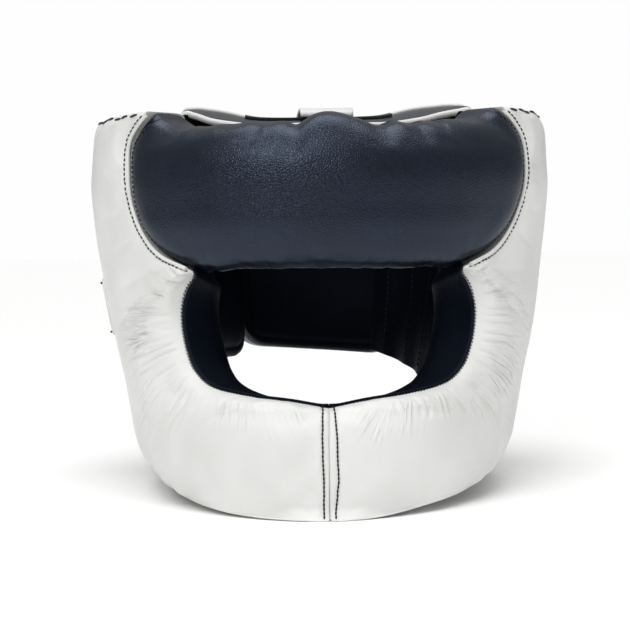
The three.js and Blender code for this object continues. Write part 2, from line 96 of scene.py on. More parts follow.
# %% [markdown]
# A place on the shell is worked out in two steps: first the crest at an angle and a height, and then a
# step along the normal there. Blender could do the second by shrinkwrapping, but a formula also tells
# where a seam, a stitch or a lining lies. The quarter-round roll is how a pad's face drops to its seam.

# %% Places on the shell


def smooth(x, low, high):
    """0 below low, 1 above high, and a soft step between."""
    q = np.clip((x - low) / (high - low), 0, 1)
    return q * q * (3 - 2 * q)


def mix(a, b, q):
    return a + (b - a) * q


def crest(deg, z):
    """The crest of the padding, in millimetres."""
    deg, z = np.broadcast_arrays(np.asarray(deg, float), np.asarray(z, float))
    sine = np.sin(np.radians(deg))
    cosine = np.cos(np.radians(deg))
    reach = np.where(cosine > 0, front_at(z), back_at(z))
    flat = np.abs(cosine / reach) ** OVAL + np.abs(sine / half_width_at(z)) ** OVAL
    radius = flat ** (-1 / OVAL)
    return np.stack([radius * sine, AXIS_Y - radius * cosine, z], -1)


def unit(v):
    return v / np.maximum(np.linalg.norm(v, axis=-1, keepdims=True), 1e-9)


def shell(deg, z, depth):
    """A place at a depth from the crest: negative is towards the head."""
    deg, z, depth = np.broadcast_arrays(*(np.asarray(a, float) for a in (deg, z, depth)))
    step = 0.5
    around = crest(deg + step, z) - crest(deg - step, z)
    up = crest(deg, z + step) - crest(deg, z - step)
    normal = unit(np.cross(around, up))
    normal[..., 2] *= smooth(z, 0, LEVEL_WITHIN) * smooth(TOP_Z - z, 0, LEVEL_WITHIN)
    return crest(deg, z) + unit(normal) * depth[..., None]


def front_deg(x, z):
    """The angle at which the crest lies a distance x to the side, in front of the axis."""
    share = 1 - np.abs(x / half_width_at(z)) ** OVAL
    return np.degrees(np.arctan2(x, front_at(z) * share ** (1 / OVAL)))


def roll(border, distance):
    """A quarter-round border: all of its drop at the border, none from its width inwards."""
    drop, width = border
    q = np.clip(distance / width, 0, 1)
    return drop * (1 - np.sqrt(1 - (1 - q) ** 2))


print("shell width in mm:", round(float(2 * crest(90, 168)[0])))

# %% [markdown]
# ## The camera
# The photo was taken from close by: about three quarters of a metre off, a little above the eye
# opening, a few centimetres to the left of the middle, and with the camera leaning by about a degree. A
# long lens further off would flatten the bar against the forehead, so the distance matters more than
# the lens: it is set first, and the lens then fills the frame. The lean is a last turn about the line
# of sight.

# %% Camera
LENS_PX = 1625.0
FRAME_PX = 630.0
CAMERA_AT = Vector((-0.0365, -0.910, 0.129))
TURN_RIGHT = math.radians(2.045)
LOOK_DOWN = math.radians(2.33)
LEAN = math.radians(-0.95)
camera_data = bpy.data.cameras.new("camera")
camera_data.sensor_width = 36.0
camera_data.lens = LENS_PX / FRAME_PX * camera_data.sensor_width
camera = bpy.data.objects.new("camera", camera_data)
camera.location = CAMERA_AT
aim = Euler((math.pi / 2 - LOOK_DOWN, 0.0, -TURN_RIGHT)).to_matrix()
camera.rotation_euler = (aim @ Matrix.Rotation(LEAN, 3, "Z")).to_euler()
bpy.context.scene.collection.objects.link(camera)
bpy.context.scene.camera = camera
print("lens in mm:", round(camera_data.lens, 1))

# %% [markdown]
# ## Materials: one helper for colour, one for nodes
# Paint chips and web colours are given as sRGB hex, while shaders work in linear light, so one function
# turns the first into the second. A second small function adds a node, sets its values and links it. No
# real finish is one flat colour, so a third lets a base colour drift between two close tones.

# %% Colour and node helpers


def linear(code):
    """An sRGB hex colour as linear RGBA."""
    parts = [int(code[i : i + 2], 16) / 255 for i in (1, 3, 5)]
    return tuple(c / 12.92 if c <= 0.04045 else ((c + 0.055) / 1.055) ** 2.4 for c in parts) + (1.0,)


def add_node(tree, kind, settings=None, values=None, links=None):
    """Adds a node with its settings, socket values and links."""
    made = tree.nodes.new(kind)
    for name, value in (settings or {}).items():
        setattr(made, name, value)
    for socket, value in (values or {}).items():
        made.inputs[socket].default_value = value
    for socket, source in (links or {}).items():
        tree.links.new(source, made.inputs[socket])
    return made


def new_material(name):
    """A material with its shader and the Object coordinates of the piece."""
    material = bpy.data.materials.new(name)
    material.use_nodes = True
    shader = material.node_tree.nodes["Principled BSDF"]
    coords = add_node(material.node_tree, "ShaderNodeTexCoord")
    return material, material.node_tree, shader, coords.outputs["Object"]


def per_mm(size):
    """The scale of a pattern whose cell is this many millimetres, on coordinates in metres."""
    return 1 / (size * MM)


def cloudy(tree, shader, here, patch, detail, dark, light, ends=(0.0, 1.0)):
    """A base colour that drifts between two tones, over patches of this many millimetres."""
    size = {"Scale": per_mm(patch), "Detail": detail}
    drift = add_node(tree, "ShaderNodeTexNoise", None, size, {"Vector": here})
    tint = add_node(tree, "ShaderNodeValToRGB", links={"Fac": drift.outputs["Fac"]})
    for stop, code, at in zip(tint.color_ramp.elements, (dark, light), ends):
        stop.position = at
        stop.color = linear(code)
    tree.links.new(tint.outputs["Color"], shader.inputs["Base Color"])
    return drift


print("paper white in linear light:", [round(c, 3) for c in linear("#e6e6e2")[:3]])

# %% [markdown]
# ### White leather
# The sides are pigment-finished cowhide: a thin coat of white paint over a fine, flat grain, pressed and
# rolled to a soft shine. The eye reads faint cloudy variation of a few centimetres, and a gloss that is
# a little uneven, so noise drives both. A painted image could do it too, but noise has no edges to hide.

# %% White leather: colour and gloss
white_leather, tree, shader, here = new_material("pigmented_white_cowhide")
cloudy(tree, shader, here, 45, 2.0, "#dbdcd9", "#e7e7e5", (0.35, 0.65))
gloss = add_node(tree, "ShaderNodeTexNoise", None, {"Scale": per_mm(9), "Detail": 3.0}, {"Vector": here})
rough = {"To Min": 0.36, "To Max": 0.52}
sheen = add_node(tree, "ShaderNodeMapRange", None, rough, {"Value": gloss.outputs["Fac"]})
tree.links.new(sheen.outputs["Result"], shader.inputs["Roughness"])
shader.inputs["IOR"].default_value = 1.5
print("made", white_leather.name)

# %% [markdown]
# Under the paint the grain is a net of pores and cells. They are drawn at a millimetre and a half, a
# little coarser than life, so that they show at all. Where the leather is gathered, hair-fine wrinkles
# run across it. Two values on the mesh say where they lie and how strong they are, so a piece without
# those values simply has none.

# %% White leather: grain and wrinkles
cell_size = {"Scale": per_mm(1.5), "Randomness": 1.0}
cells = add_node(tree, "ShaderNodeTexVoronoi", {"feature": "DISTANCE_TO_EDGE"}, cell_size, {"Vector": here})
grain = add_node(tree, "ShaderNodeMapRange", None, {"From Max": 0.12}, {"Value": cells.outputs["Distance"]})
shallow = {"Strength": 0.12, "Distance": 0.0002}
grain_bump = add_node(tree, "ShaderNodeBump", None, shallow, {"Height": grain.outputs["Result"]})
lie = add_node(tree, "ShaderNodeAttribute", {"attribute_name": "wrinkle_place"})
strength = add_node(tree, "ShaderNodeAttribute", {"attribute_name": "wrinkle_share"})
wander = {"Scale": 1.0, "Detail": 1.5, "Roughness": 0.4, "Distortion": 0.35}
lines = add_node(tree, "ShaderNodeTexNoise", None, wander, {"Vector": lie.outputs["Vector"]})
offset = add_node(tree, "ShaderNodeMath", {"operation": "SUBTRACT"}, {1: 0.5}, {0: lines.outputs["Fac"]})
apart = add_node(tree, "ShaderNodeMath", {"operation": "ABSOLUTE"}, None, {0: offset.outputs["Value"]})
soft_step = {"interpolation_type": "SMOOTHSTEP"}
from_line = {"Value": apart.outputs["Value"]}
valley = add_node(tree, "ShaderNodeMapRange", soft_step, {"From Max": 0.17}, from_line)
wrinkle_links = {"Height": valley.outputs["Result"], "Strength": strength.outputs["Fac"]}
wrinkle_links["Normal"] = grain_bump.outputs["Normal"]
wrinkle_bump = add_node(tree, "ShaderNodeBump", None, {"Distance": 0.0007}, wrinkle_links)
tree.links.new(wrinkle_bump.outputs["Normal"], shader.inputs["Normal"])
print("wrinkles read", lie.attribute_name, "and", strength.attribute_name)

# %% [markdown]
# ### Black leather
# The forehead is corrected-grain cowhide, embossed with round pebbles of about a millimetre and a
# quarter and finished satin, so a broad lamp leaves a soft blue-grey band on it. The lining is a thinner,
# softer leather with a finer and flatter grain, and hardly any shine. They differ only in numbers, so
# one function makes both.

# %% Black leathers


def pebbled(name, dark, light, pebble, height, rough, shine):
    """An embossed leather: pebble size in millimetres, and the range of its roughness."""
    made, nodes, face, at = new_material(name)
    cloudy(nodes, face, at, 30, 3.0, dark, light, (0.35, 0.65))
    edges = {"feature": "DISTANCE_TO_EDGE"}
    pebbles = add_node(nodes, "ShaderNodeTexVoronoi", edges, {"Scale": per_mm(pebble)}, {"Vector": at})
    from_edge = {"Value": pebbles.outputs["Distance"]}
    dome = add_node(nodes, "ShaderNodeMapRange", soft_step, {"From Max": 0.3}, from_edge)
    patch = add_node(nodes, "ShaderNodeTexNoise", None, {"Scale": per_mm(6), "Detail": 2.0}, {"Vector": at})
    ends = {"To Min": rough[0], "To Max": rough[1]}
    uneven = add_node(nodes, "ShaderNodeMapRange", None, ends, {"Value": patch.outputs["Fac"]})
    nodes.links.new(uneven.outputs["Result"], face.inputs["Roughness"])
    stamp = {"Strength": height, "Distance": 0.0003}
    relief = add_node(nodes, "ShaderNodeBump", None, stamp, {"Height": dome.outputs["Result"]})
    nodes.links.new(relief.outputs["Normal"], face.inputs["Normal"])
    face.inputs["Specular IOR Level"].default_value = shine
    face.inputs["Specular Tint"].default_value = linear("#cfe0ff")
    return made


black_leather = pebbled("embossed_black_cowhide", "#060a14", "#0b111d", 1.25, 0.24, (0.25, 0.34), 0.58)
lining_leather = pebbled("black_lining_leather", "#03060e", "#070c17", 0.9, 0.25, (0.46, 0.58), 0.15)
print("made", black_leather.name, "and", lining_leather.name)

# %% [markdown]
# ### Thread and loop pile
# The seams are sewn with bonded nylon thread, black and a little glossy. The patches on the crown are
# the loop half of a touch fastener: a mat of fine nylon loops, dull and fuzzy, with lint-grey tips. Real
# loops would be many thousands of hairs, so noise in the bump stands for them.

# %% Thread and loop pile
thread, tree, shader, here = new_material("bonded_nylon_thread")
cloudy(tree, shader, here, 0.6, 2.0, "#08090b", "#1d1f24")
shader.inputs["Roughness"].default_value = 0.5

loop_pile, tree, shader, here = new_material("nylon_loop_pile")
fuzz = cloudy(tree, shader, here, 1.2, 4.0, "#07080a", "#23252b")
raised = {"Strength": 0.8, "Distance": 0.0008}
nap = add_node(tree, "ShaderNodeBump", None, raised, {"Height": fuzz.outputs["Fac"]})
tree.links.new(nap.outputs["Normal"], shader.inputs["Normal"])
shader.inputs["Roughness"].default_value = 0.95
shader.inputs["Sheen Weight"].default_value = 0.3
print("made", thread.name, "and", loop_pile.name)

# %% [markdown]
# ## How a pad is built
# A pad is two faces sewn together round foam. A grid becomes the outer face, its copy becomes the face
# towards the head, and the two open borders are bridged into one closed skin. Each vertex remembers
# where on the pattern it lies, along and across, so creases and stitches can follow the seams later.

# %% Pad helpers
SPREAD = 0.6
KEEN_SEAM = 0.92
SAME_PLACE = 2e-5


def crowd(v):
    """Moves stations towards both borders, where the padding rolls."""
    return mix(v, (1 - np.cos(np.pi * v)) / 2, SPREAD)


def set_places(verts, places):
    """Puts vertices at places given in millimetres."""
    for vert, place in zip(verts, places * MM):
        vert.co = place


def pattern_grid(bm, along, across):
    """A flat grid whose vertices know their place on the pattern, 0 to 1 each way."""
    bmesh.ops.create_grid(bm, x_segments=along, y_segments=across, size=0.5)
    u_layer = bm.verts.layers.float.new("along")
    v_layer = bm.verts.layers.float.new("across")
    for vert in bm.verts:
        vert[u_layer] = vert.co.x + 0.5
        vert[v_layer] = float(crowd(vert.co.y + 0.5))
    return u_layer, v_layer


def new_piece(name, bm):
    """Puts a finished bmesh into the scene as an object."""
    mesh = bpy.data.meshes.new(name)
    bm.to_mesh(mesh)
    bm.free()
    piece = bpy.data.objects.new(name, mesh)
    bpy.context.scene.collection.objects.link(piece)
    return piece


def pad_mesh(name, outer, inner, along, across, wall_cuts=0):
    """A closed skin between two faces, each a function of the place on the pattern."""
    bm = bmesh.new()
    u_layer, v_layer = pattern_grid(bm, along, across)
    inside = bm.verts.layers.float.new("inside")
    front = bm.verts[:]
    copied = bmesh.ops.duplicate(bm, geom=bm.verts[:] + bm.edges[:] + bm.faces[:])
    back = [g for g in copied["geom"] if isinstance(g, bmesh.types.BMVert)]
    for vert in back:
        vert[inside] = 1.0
    for verts, face in ((front, outer), (back, inner)):
        u = np.array([v[u_layer] for v in verts])
        v = np.array([v[v_layer] for v in verts])
        set_places(verts, face(u, v))
    keen = bm.edges.layers.float.new("crease_edge")
    borders = [e for e in bm.edges if e.is_boundary]
    for edge in borders:
        edge[keen] = KEEN_SEAM
    bridged = bmesh.ops.bridge_loops(bm, edges=borders)
    if wall_cuts:
        bmesh.ops.subdivide_edges(bm, edges=bridged["edges"], cuts=wall_cuts, use_grid_fill=True)
    bmesh.ops.remove_doubles(bm, verts=bm.verts[:], dist=SAME_PLACE)
    bmesh.ops.recalc_face_normals(bm, faces=bm.faces[:])
    return new_piece(name, bm)


print("vertices are crowded to the borders by a share of", SPREAD)

# %% [markdown]
# After that the pad is a plain mesh. Its places and values are read as arrays, because moving a hundred
# thousand vertices one by one in Python is slow. Every piece is finished in the same way: smooth
# shading, a material, the CAD part that it stands for hidden, and the body that it rides on.

# %% Reading, rounding and finishing a piece


def values_of(mesh, name):
    """One of a mesh's vertex values as an array."""
    found = np.zeros(len(mesh.vertices))
    mesh.attributes[name].data.foreach_get("value", found)
    return found


def places_of(mesh):
    """A mesh's vertex places as an array, in millimetres."""
    found = np.zeros(len(mesh.vertices) * 3)
    mesh.vertices.foreach_get("co", found)
    return found.reshape(-1, 3) / MM


def put_places(mesh, places):
    mesh.vertices.foreach_set("co", (places * MM).ravel())
    mesh.update()


def normals_of(mesh):
    found = np.zeros(len(mesh.vertices) * 3)
    mesh.vertices.foreach_get("normal", found)
    return found.reshape(-1, 3)


def bake_modifiers(piece):
    """Turns what the piece's modifiers make into its own mesh."""
    depsgraph = bpy.context.evaluated_depsgraph_get()
    made = bpy.data.meshes.new_from_object(piece.evaluated_get(depsgraph))
    old = piece.data
    made.name = old.name
    piece.modifiers.clear()
    piece.data = made
    bpy.data.meshes.remove(old)


def refine(piece, levels):
    """Rounds a piece by subdivision and keeps the result as its mesh."""
    rounder = piece.modifiers.new("Round", "SUBSURF")
    rounder.levels = levels
    rounder.render_levels = levels
    bake_modifiers(piece)


def finish_piece(piece, material, node):
    """Gives smooth shading and a material, hides the CAD part that it stands for, and sets its body."""
    for face in piece.data.polygons:
        face.use_smooth = True
    piece.data.materials.clear()
    piece.data.materials.append(material)
    if node:
        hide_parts(node)
    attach(piece, "root")
    print("made", piece.name, "with", len(piece.data.polygons), "faces")


print("each piece rides on:", "root")

# %% [markdown]
# ## Swelling the leather over its foam
# Foam pushes a sewn cover outwards until its seams hold it, which is what Blender's Cloth does with a
# little pressure. The faces towards the head and the seams are pinned, the cover is cut a touch too
# large so that it gathers where it is sewn, and no point may move further than a cap. The result is
# kept in the mesh and the simulation is thrown away, so every run gives the same shape.

# %% Cloth
SWELL_FRAMES = 20
AT_SEAM = 1e-4
OFF_FACE = 0.01


def swell(piece, pressure, spare, cap):
    """Swells a pad by cloth simulation: pressure, spare cloth as a share, and the cap in millimetres."""
    mesh = piece.data
    start = places_of(mesh)
    inside = values_of(mesh, "inside")
    across = values_of(mesh, "across")
    along = values_of(mesh, "along")
    border = np.minimum.reduce([across, 1 - across, along, 1 - along])
    held = piece.vertex_groups.new(name="held")
    for i in np.nonzero((inside > OFF_FACE) | (border < AT_SEAM))[0]:
        held.add([int(i)], 1.0, "REPLACE")
    cloth = piece.modifiers.new("Cloth", "CLOTH")
    leather = cloth.settings
    leather.quality = 6
    leather.mass = 0.25
    leather.tension_stiffness = 12
    leather.compression_stiffness = 12
    leather.shear_stiffness = 6
    leather.bending_stiffness = 0.4
    leather.vertex_group_mass = "held"
    leather.use_pressure = True
    leather.uniform_pressure_force = pressure
    leather.shrink_min = -spare
    leather.effector_weights.gravity = 0.0
    cloth.point_cache.frame_start = 1
    cloth.point_cache.frame_end = SWELL_FRAMES
    scene = bpy.context.scene
    for step in range(1, SWELL_FRAMES + 1):
        scene.frame_set(step)
    bake_modifiers(piece)
    scene.frame_set(1)
    moved = places_of(piece.data) - start
    reach = np.linalg.norm(moved, axis=1)
    limit = cap * np.tanh(reach / cap) / np.maximum(reach, 1e-9)
    put_places(piece.data, start + moved * limit[:, None])
    piece.vertex_groups.clear()
    print(piece.name, "swelled by up to", round(float((reach * limit).max()), 1), "mm")


print("frames for each pad:", SWELL_FRAMES)

# %% [markdown]
# ## The white sides and the face bar
# Each half is one long panel: it starts at the temple, passes the cheek and ends at the seam in the
# middle of the bar. A table of rows follows that path. Each row gives the panel's border on the forehead
# and the eye opening, its border at the back and along the base, how far the lined wall of the opening
# stands in, and the thickness of the foam. The left half is the same pattern turned over.

# %% The side panel's pattern
SEAM_X = [94, 105, 106.6, 104.6, 97.4, 87.5, 72, 79.3, 82.6, 82.1, 79.6, 75.4, 65.5, 45, 21.5, 0.02]
SEAM_Z = [201, 187, 170, 154, 137.5, 126.5, 119.6, 111.8, 100, 88.8, 77.6, 69.3, 62.3, 59.3, 57.3, 53.8]
RIM_DEG = [101, 102, 103, 104.5, 106, 106.5, 106, 105, 102.5, 97, 88, 76, 61, 44, 20, 0.01]
RIM_Z = [201, 182, 157, 130, 104, 80, 58, 34, 12, 0, 0, 0, 3.5, 5.5, 1.5, 0]
LIP = [0, 0, 0, 0, 0, -3, -7, -4, -1.5, -1, -1, -0.5, -0.5, -2, -3, -3.5]
FOAM = [36, 39, 41, 42, 42, 42, 41, 41, 41, 41, 40, 39, 38, 37, 36, 36]
CORNER = 6
BASE_ROW = 9
BASE_AT = [0, 11, 12, 13, 14, 15]
BASE_DROP = [23, 23, 17, 8, 0, -8]
BASE_WIDE = [54, 54, 40, 22, 10, 13]
LAST = len(SEAM_X) - 1
ROWS = np.arange(LAST + 1)
SEAM_ROLL = (3.2, 11.0)
OPENING_ROLL = (11.0, 24.0)
REAR_ROLL = (6.0, 16.0)
TOP_ROLL = (3.5, 5.5)
CENTRE_ROLL = (0.7, 3.0)
HOLLOW_EDGE = (8.0, 14.0)
HOLLOW_BASE = (11.0, 22.0)
HOLLOW_TOP = (4.0, 7.0)
PANEL_INNER = (5.0, 12.0)
WALL = 0.25
WRAP_ROOM = 2.2
ROOM_ALONG = 0.12
ROOM_ACROSS = 0.2
print("rows from the temple to the middle of the bar:", LAST + 1)

# %% [markdown]
# The tables become smooth curves. The seam turns sharply at the corner of the eye opening, so it is two
# curves that meet there. From a row and a distance off the seam follow an angle and a height, and from
# the borders' rolls a depth, which gives the outer face. The inner face runs down the lined wall of the
# opening first and then along the hollow.

# %% The side panel's two faces
above = ROWS[: CORNER + 1]
below = ROWS[CORNER:]
seam_x_above = through(above, SEAM_X[: CORNER + 1])
seam_z_above = through(above, SEAM_Z[: CORNER + 1])
seam_x_below = through(below, SEAM_X[CORNER:])
seam_z_below = through(below, SEAM_Z[CORNER:])
rim_deg_at = through(ROWS, RIM_DEG)
rim_z_at = through(ROWS, RIM_Z)
lip_at = through(ROWS, LIP)
foam_at = through(ROWS, FOAM)
base_drop_at = through(BASE_AT, BASE_DROP)
base_wide_at = through(BASE_AT, BASE_WIDE)


def seam_place(row):
    """The angle and height of the panel's seam at a row."""
    x = np.where(row < CORNER, seam_x_above(row), seam_x_below(row))
    z = np.where(row < CORNER, seam_z_above(row), seam_z_below(row))
    return front_deg(x, z), z


def wrap_width(row):
    deg, z = seam_place(row)
    return np.linalg.norm(crest(deg, z) - crest(rim_deg_at(row), np.maximum(rim_z_at(row), 0)), axis=-1)


def wrap_place(row, off):
    """The angle and height at a distance from the seam towards the rim."""
    deg, z = seam_place(row)
    q = off / wrap_width(row)
    return mix(deg, rim_deg_at(row), q), mix(z, np.maximum(rim_z_at(row), 0), q)


def borders_at(one, other, share):
    """A border roll that changes from one to the other as share goes from 0 to 1."""
    q = smooth(share, 0, 1)
    return mix(one[0], other[0], q), mix(one[1], other[1], q)


def wrap_depth(row, off):
    deg, z = wrap_place(row, off)
    width = wrap_width(row)
    to_base = (row - CORNER) / (BASE_ROW - CORNER)
    seam_roll = roll(borders_at(SEAM_ROLL, OPENING_ROLL, row - CORNER + 0.5), off)
    base_roll = (base_drop_at(row), base_wide_at(row))
    rim_roll = roll(borders_at(REAR_ROLL, base_roll, to_base), width - off)
    middle = np.where(row > LAST - 2, roll(CENTRE_ROLL, np.abs(crest(deg, z)[..., 0])), 0)
    return -seam_roll - rim_roll - roll(TOP_ROLL, TOP_Z - z) - middle


def swell_room(along, across, depth):
    """How far a cover starts below its final face, none at its seams."""
    middle = smooth(along, 0, ROOM_ALONG) * smooth(1 - along, 0, ROOM_ALONG)
    return depth * middle * smooth(across, 0, ROOM_ACROSS) * smooth(1 - across, 0, ROOM_ACROSS)


def wrap_outer(along, across):
    row = along * LAST
    off = across * wrap_width(row)
    deg, z = wrap_place(row, off)
    return shell(deg, z, wrap_depth(row, off) - swell_room(along, across, WRAP_ROOM))


def wrap_inner(along, across):
    """Down the lined wall of the opening and then along the hollow of the head."""
    row = np.asarray(along * LAST, float)
    width = wrap_width(row)
    lip = lip_at(row)
    q = np.clip(across / WALL, 0, 1)
    r = np.clip((across - WALL) / (1 - WALL), 0, 1)
    off = np.where(across < WALL, -lip * q, mix(-lip, width, r))
    to_base = (row - CORNER) / (BASE_ROW - CORNER)
    rim_roll = roll(borders_at(PANEL_INNER, HOLLOW_BASE, to_base), width - off)
    rises = roll(HOLLOW_EDGE, off + lip) + rim_roll
    wall = mix(wrap_depth(row, 0 * row), HOLLOW_EDGE[0] - foam_at(row), q)
    depth = np.where(across < WALL, wall, rises - foam_at(row))
    deg, z = wrap_place(row, off)
    return shell(deg, z, depth + roll(HOLLOW_TOP, TOP_Z - z))


print("panel width in mm at the bar:", round(float(wrap_width(np.array(15.0)))))

# %% [markdown]
# Leather that is pulled round a corner gathers in creases. Here a crease is a line on the unrolled
# panel: the skin sinks along it and rises a little on both sides, and it fades at both ends. Small
# noises from a fixed table add the gentle unevenness of foam, and puckers where a seam is drawn tight.

# %% Crease helpers
DEG_MM = 2.15
SEED_STEP = 17.3
SCATTER = np.array([73856093, 19349663, 83492791])
CREASE_FADE = 0.7
RIDGE_HEIGHT = 0.3
RIDGE_AT = 2.0
RIDGE_WIDE = 1.1
dice = np.random.default_rng(11)
LATTICE = dice.uniform(-1, 1, 4096)


def bumps(points, pitch, seed):
    """Smooth noise from a fixed table, about -1 to 1: points in millimetres, pitch between bumps."""
    at = np.atleast_2d(points) / pitch + seed * SEED_STEP
    cell = np.floor(at).astype(int)
    q = at - cell
    q = q * q * (3 - 2 * q)
    total = np.zeros(len(at))
    for corner in range(2 ** at.shape[1]):
        bits = np.array([(corner >> k) & 1 for k in range(at.shape[1])])
        weight = np.prod(np.where(bits, q, 1 - q), axis=1)
        key = (cell + bits) @ SCATTER[: at.shape[1]]
        total += weight * LATTICE[key % len(LATTICE)]
    return total


def unrolled(places):
    """Places on the shell as distance round it and height, in millimetres."""
    deg = np.degrees(np.arctan2(places[:, 0], AXIS_Y - places[:, 1]))
    return np.stack([deg * DEG_MM, places[:, 2]], -1)


def crease(flat, line, width, depth):
    """How far a crease along a line of (round, height) points moves the skin: down in it, up beside it."""
    line = np.asarray(line, float)
    spans = np.linalg.norm(np.diff(line, axis=0), axis=1)
    starts = np.concatenate([[0], np.cumsum(spans)])
    near = np.full(len(flat), 1e9)
    where = np.zeros(len(flat))
    for a, b, start, span in zip(line[:-1], line[1:], starts, spans):
        q = np.clip((flat - a) @ (b - a) / span**2, 0, 1)
        gap = np.linalg.norm(flat - a - q[:, None] * (b - a), axis=1)
        closer = gap < near
        near = np.where(closer, gap, near)
        where = np.where(closer, start + q * span, where)
    fade = np.sin(np.pi * np.clip(where / starts[-1], 0.02, 0.98)) ** CREASE_FADE
    dip = np.exp(-((near / width) ** 2))
    lift = RIDGE_HEIGHT * np.exp(-(((near - RIDGE_AT * width) / (RIDGE_WIDE * width)) ** 2))
    return depth * fade * (lift - dip)


print("noise table:", len(LATTICE))

# %% [markdown]
# The creases that can be told apart are drawn one by one: a width, a depth and a line of points, each the
# distance round the shell and the height. They run out from the eye opening, where the leather is pulled
# round its corners. Sculpting them by hand would look as good, but a table can be read and changed.

# %% Creases of the side panels
CREASE_WIDEN = 1.2
CREASE_DEEPEN = 2.8
CREASES = {
    "left": [
        (0.7, 0.45, [(91, 124), (84, 119), (78, 115), (72, 111)]),
        (0.7, 0.4, [(94, 118), (84, 113), (74, 106)]),
        (0.6, 0.25, [(103, 120), (96, 118), (89, 114)]),
        (0.6, 0.25, [(108, 114), (97, 109), (89, 105)]),
        (0.8, 0.45, [(131, 100), (112, 100), (98, 100), (89, 99)]),
        (0.7, 0.3, [(128, 97), (108, 98), (92, 97), (81, 96)]),
        (0.7, 0.25, [(127, 95), (106, 96), (88, 95)]),
        (0.7, 0.25, [(127, 93), (104, 92), (84, 92)]),
        (0.7, 0.3, [(132, 89), (110, 91), (91, 90), (79, 89)]),
        (0.7, 0.3, [(135, 83), (113, 86), (96, 88), (83, 89)]),
        (0.7, 0.25, [(125, 81), (104, 84), (89, 87)]),
        (0.7, 0.3, [(122, 77), (102, 82), (87, 85)]),
        (0.7, 0.3, [(120, 74), (100, 77), (87, 81), (77, 84), (73, 85)]),
        (0.7, 0.3, [(106, 71), (91, 76), (79, 80), (72, 82)]),
        (0.7, 0.25, [(113, 66), (100, 69), (87, 74)]),
        (0.7, 0.3, [(103, 59), (94, 65), (84, 70), (77, 73)]),
        (0.7, 0.3, [(81, 55), (77, 60), (74, 64), (67, 71)]),
        (0.7, 0.25, [(71, 51), (68, 57), (66, 62)]),
    ],
    "right": [
        (0.7, 0.45, [(72, 110), (79, 115), (90, 120)]),
        (0.6, 0.25, [(73, 108), (79, 112), (86, 116)]),
        (0.7, 0.4, [(73, 104), (81, 108), (91, 111)]),
        (0.7, 0.35, [(74, 102), (88, 105), (105, 108)]),
        (0.7, 0.25, [(74, 97), (90, 97), (114, 96)]),
        (0.7, 0.25, [(72, 94), (89, 94), (113, 93)]),
        (0.7, 0.25, [(72, 91), (87, 90), (111, 89)]),
        (0.7, 0.3, [(69, 86), (86, 85), (109, 82)]),
        (0.7, 0.3, [(68, 83), (82, 81), (103, 78)]),
        (0.7, 0.3, [(67, 81), (78, 77), (98, 71)]),
        (0.7, 0.3, [(65, 79), (73, 73), (86, 66)]),
        (0.7, 0.25, [(62, 76), (68, 71), (76, 67)]),
        (0.7, 0.25, [(56, 68), (59, 64), (62, 60)]),
        (0.7, 0.25, [(64, 64), (71, 59), (79, 54)]),
        (0.7, 0.25, [(68, 59), (76, 53), (84, 47)]),
        (0.7, 0.25, [(53, 65), (55, 60), (58, 55)]),
        (0.7, 0.35, [(41, 58), (43, 50), (42, 45)]),
        (0.7, 0.3, [(36, 57), (39, 52), (39, 47)]),
        (0.7, 0.25, [(52, 56), (54, 49)]),
        (0.7, 0.3, [(30, 56), (33, 50)]),
        (0.7, 0.25, [(27, 55), (29, 50)]),
    ],
}
print("creases:", {side: len(lines) for side, lines in CREASES.items()})

# %% [markdown]
# Between the drawn creases lie finer wrinkles in a fan round each side of the opening, too many to draw.
# A wave round the fan's middle makes them, broken up by noise, and they fade away from the opening. The
# same two directions go to the white leather for its hair-fine wrinkles. The relief is pressed into the
# mesh, so it is part of the shape itself and not only of the shading.

# %% Relief of the side panels
SEAM_STITCH_OFF = 1.1
BAR_STITCH_X = {"left": [3.3, 3.1, 2.6, 2.6], "right": [2.4, 3.9, 4.4, 2.6]}
BAR_STITCH_Z = [57, 40, 18, 0]
FAN_MIDDLE = (40.0, 98.0)
FAN_REACH = 46.0
FAN_ROWS = (5.2, 6.8)
FAN_OFF = (3, 12)
FAN_FADE = (48, 80)
FAN_PITCH = 2.5
FAN_DEPTH = 0.3
UNDER_ROWS = (11.8, 12.8)
UNDER_LAST = (14.3, 14.8)
UNDER_OFF = (2, 6)
UNDER_FADE = (12, 30)
UNDER_SHARE = 0.7
FAN_WAVER = ((0.45, 13, 3), (0.2, 6, 4))
STREAK_SIZE = (6, 22)
STREAK_STEP = (-0.3, 0.45)
SIDE_LUMPS = ((0.45, 36), (0.18, 14))
SEAM_CALM = 5.0
SEAM_GROOVE = (0.3, 0.8)
BAR_GROOVE = (0.45, 0.9)
WRINKLE_PITCH = 2.4
WRINKLE_LENGTH = 26.0
ON_FACE = 0.05


def gathered(row, off):
    """How much the leather is gathered: beside the opening, and less below it."""
    beside = smooth(row, *FAN_ROWS) * (1 - smooth(row, *UNDER_ROWS)) * smooth(off, *FAN_OFF)
    beside = beside * (1 - smooth(off, *FAN_FADE))
    under = smooth(row, *UNDER_ROWS) * (1 - smooth(row, *UNDER_LAST)) * smooth(off, *UNDER_OFF)
    return beside + UNDER_SHARE * under * (1 - smooth(off, *UNDER_FADE))


def store(mesh, name, values):
    """Keeps one value or one vector for each vertex of a mesh."""
    kind = "FLOAT" if values.ndim == 1 else "FLOAT_VECTOR"
    layer = mesh.attributes.new(name, kind, "POINT")
    layer.data.foreach_set("value" if values.ndim == 1 else "vector", values.ravel())


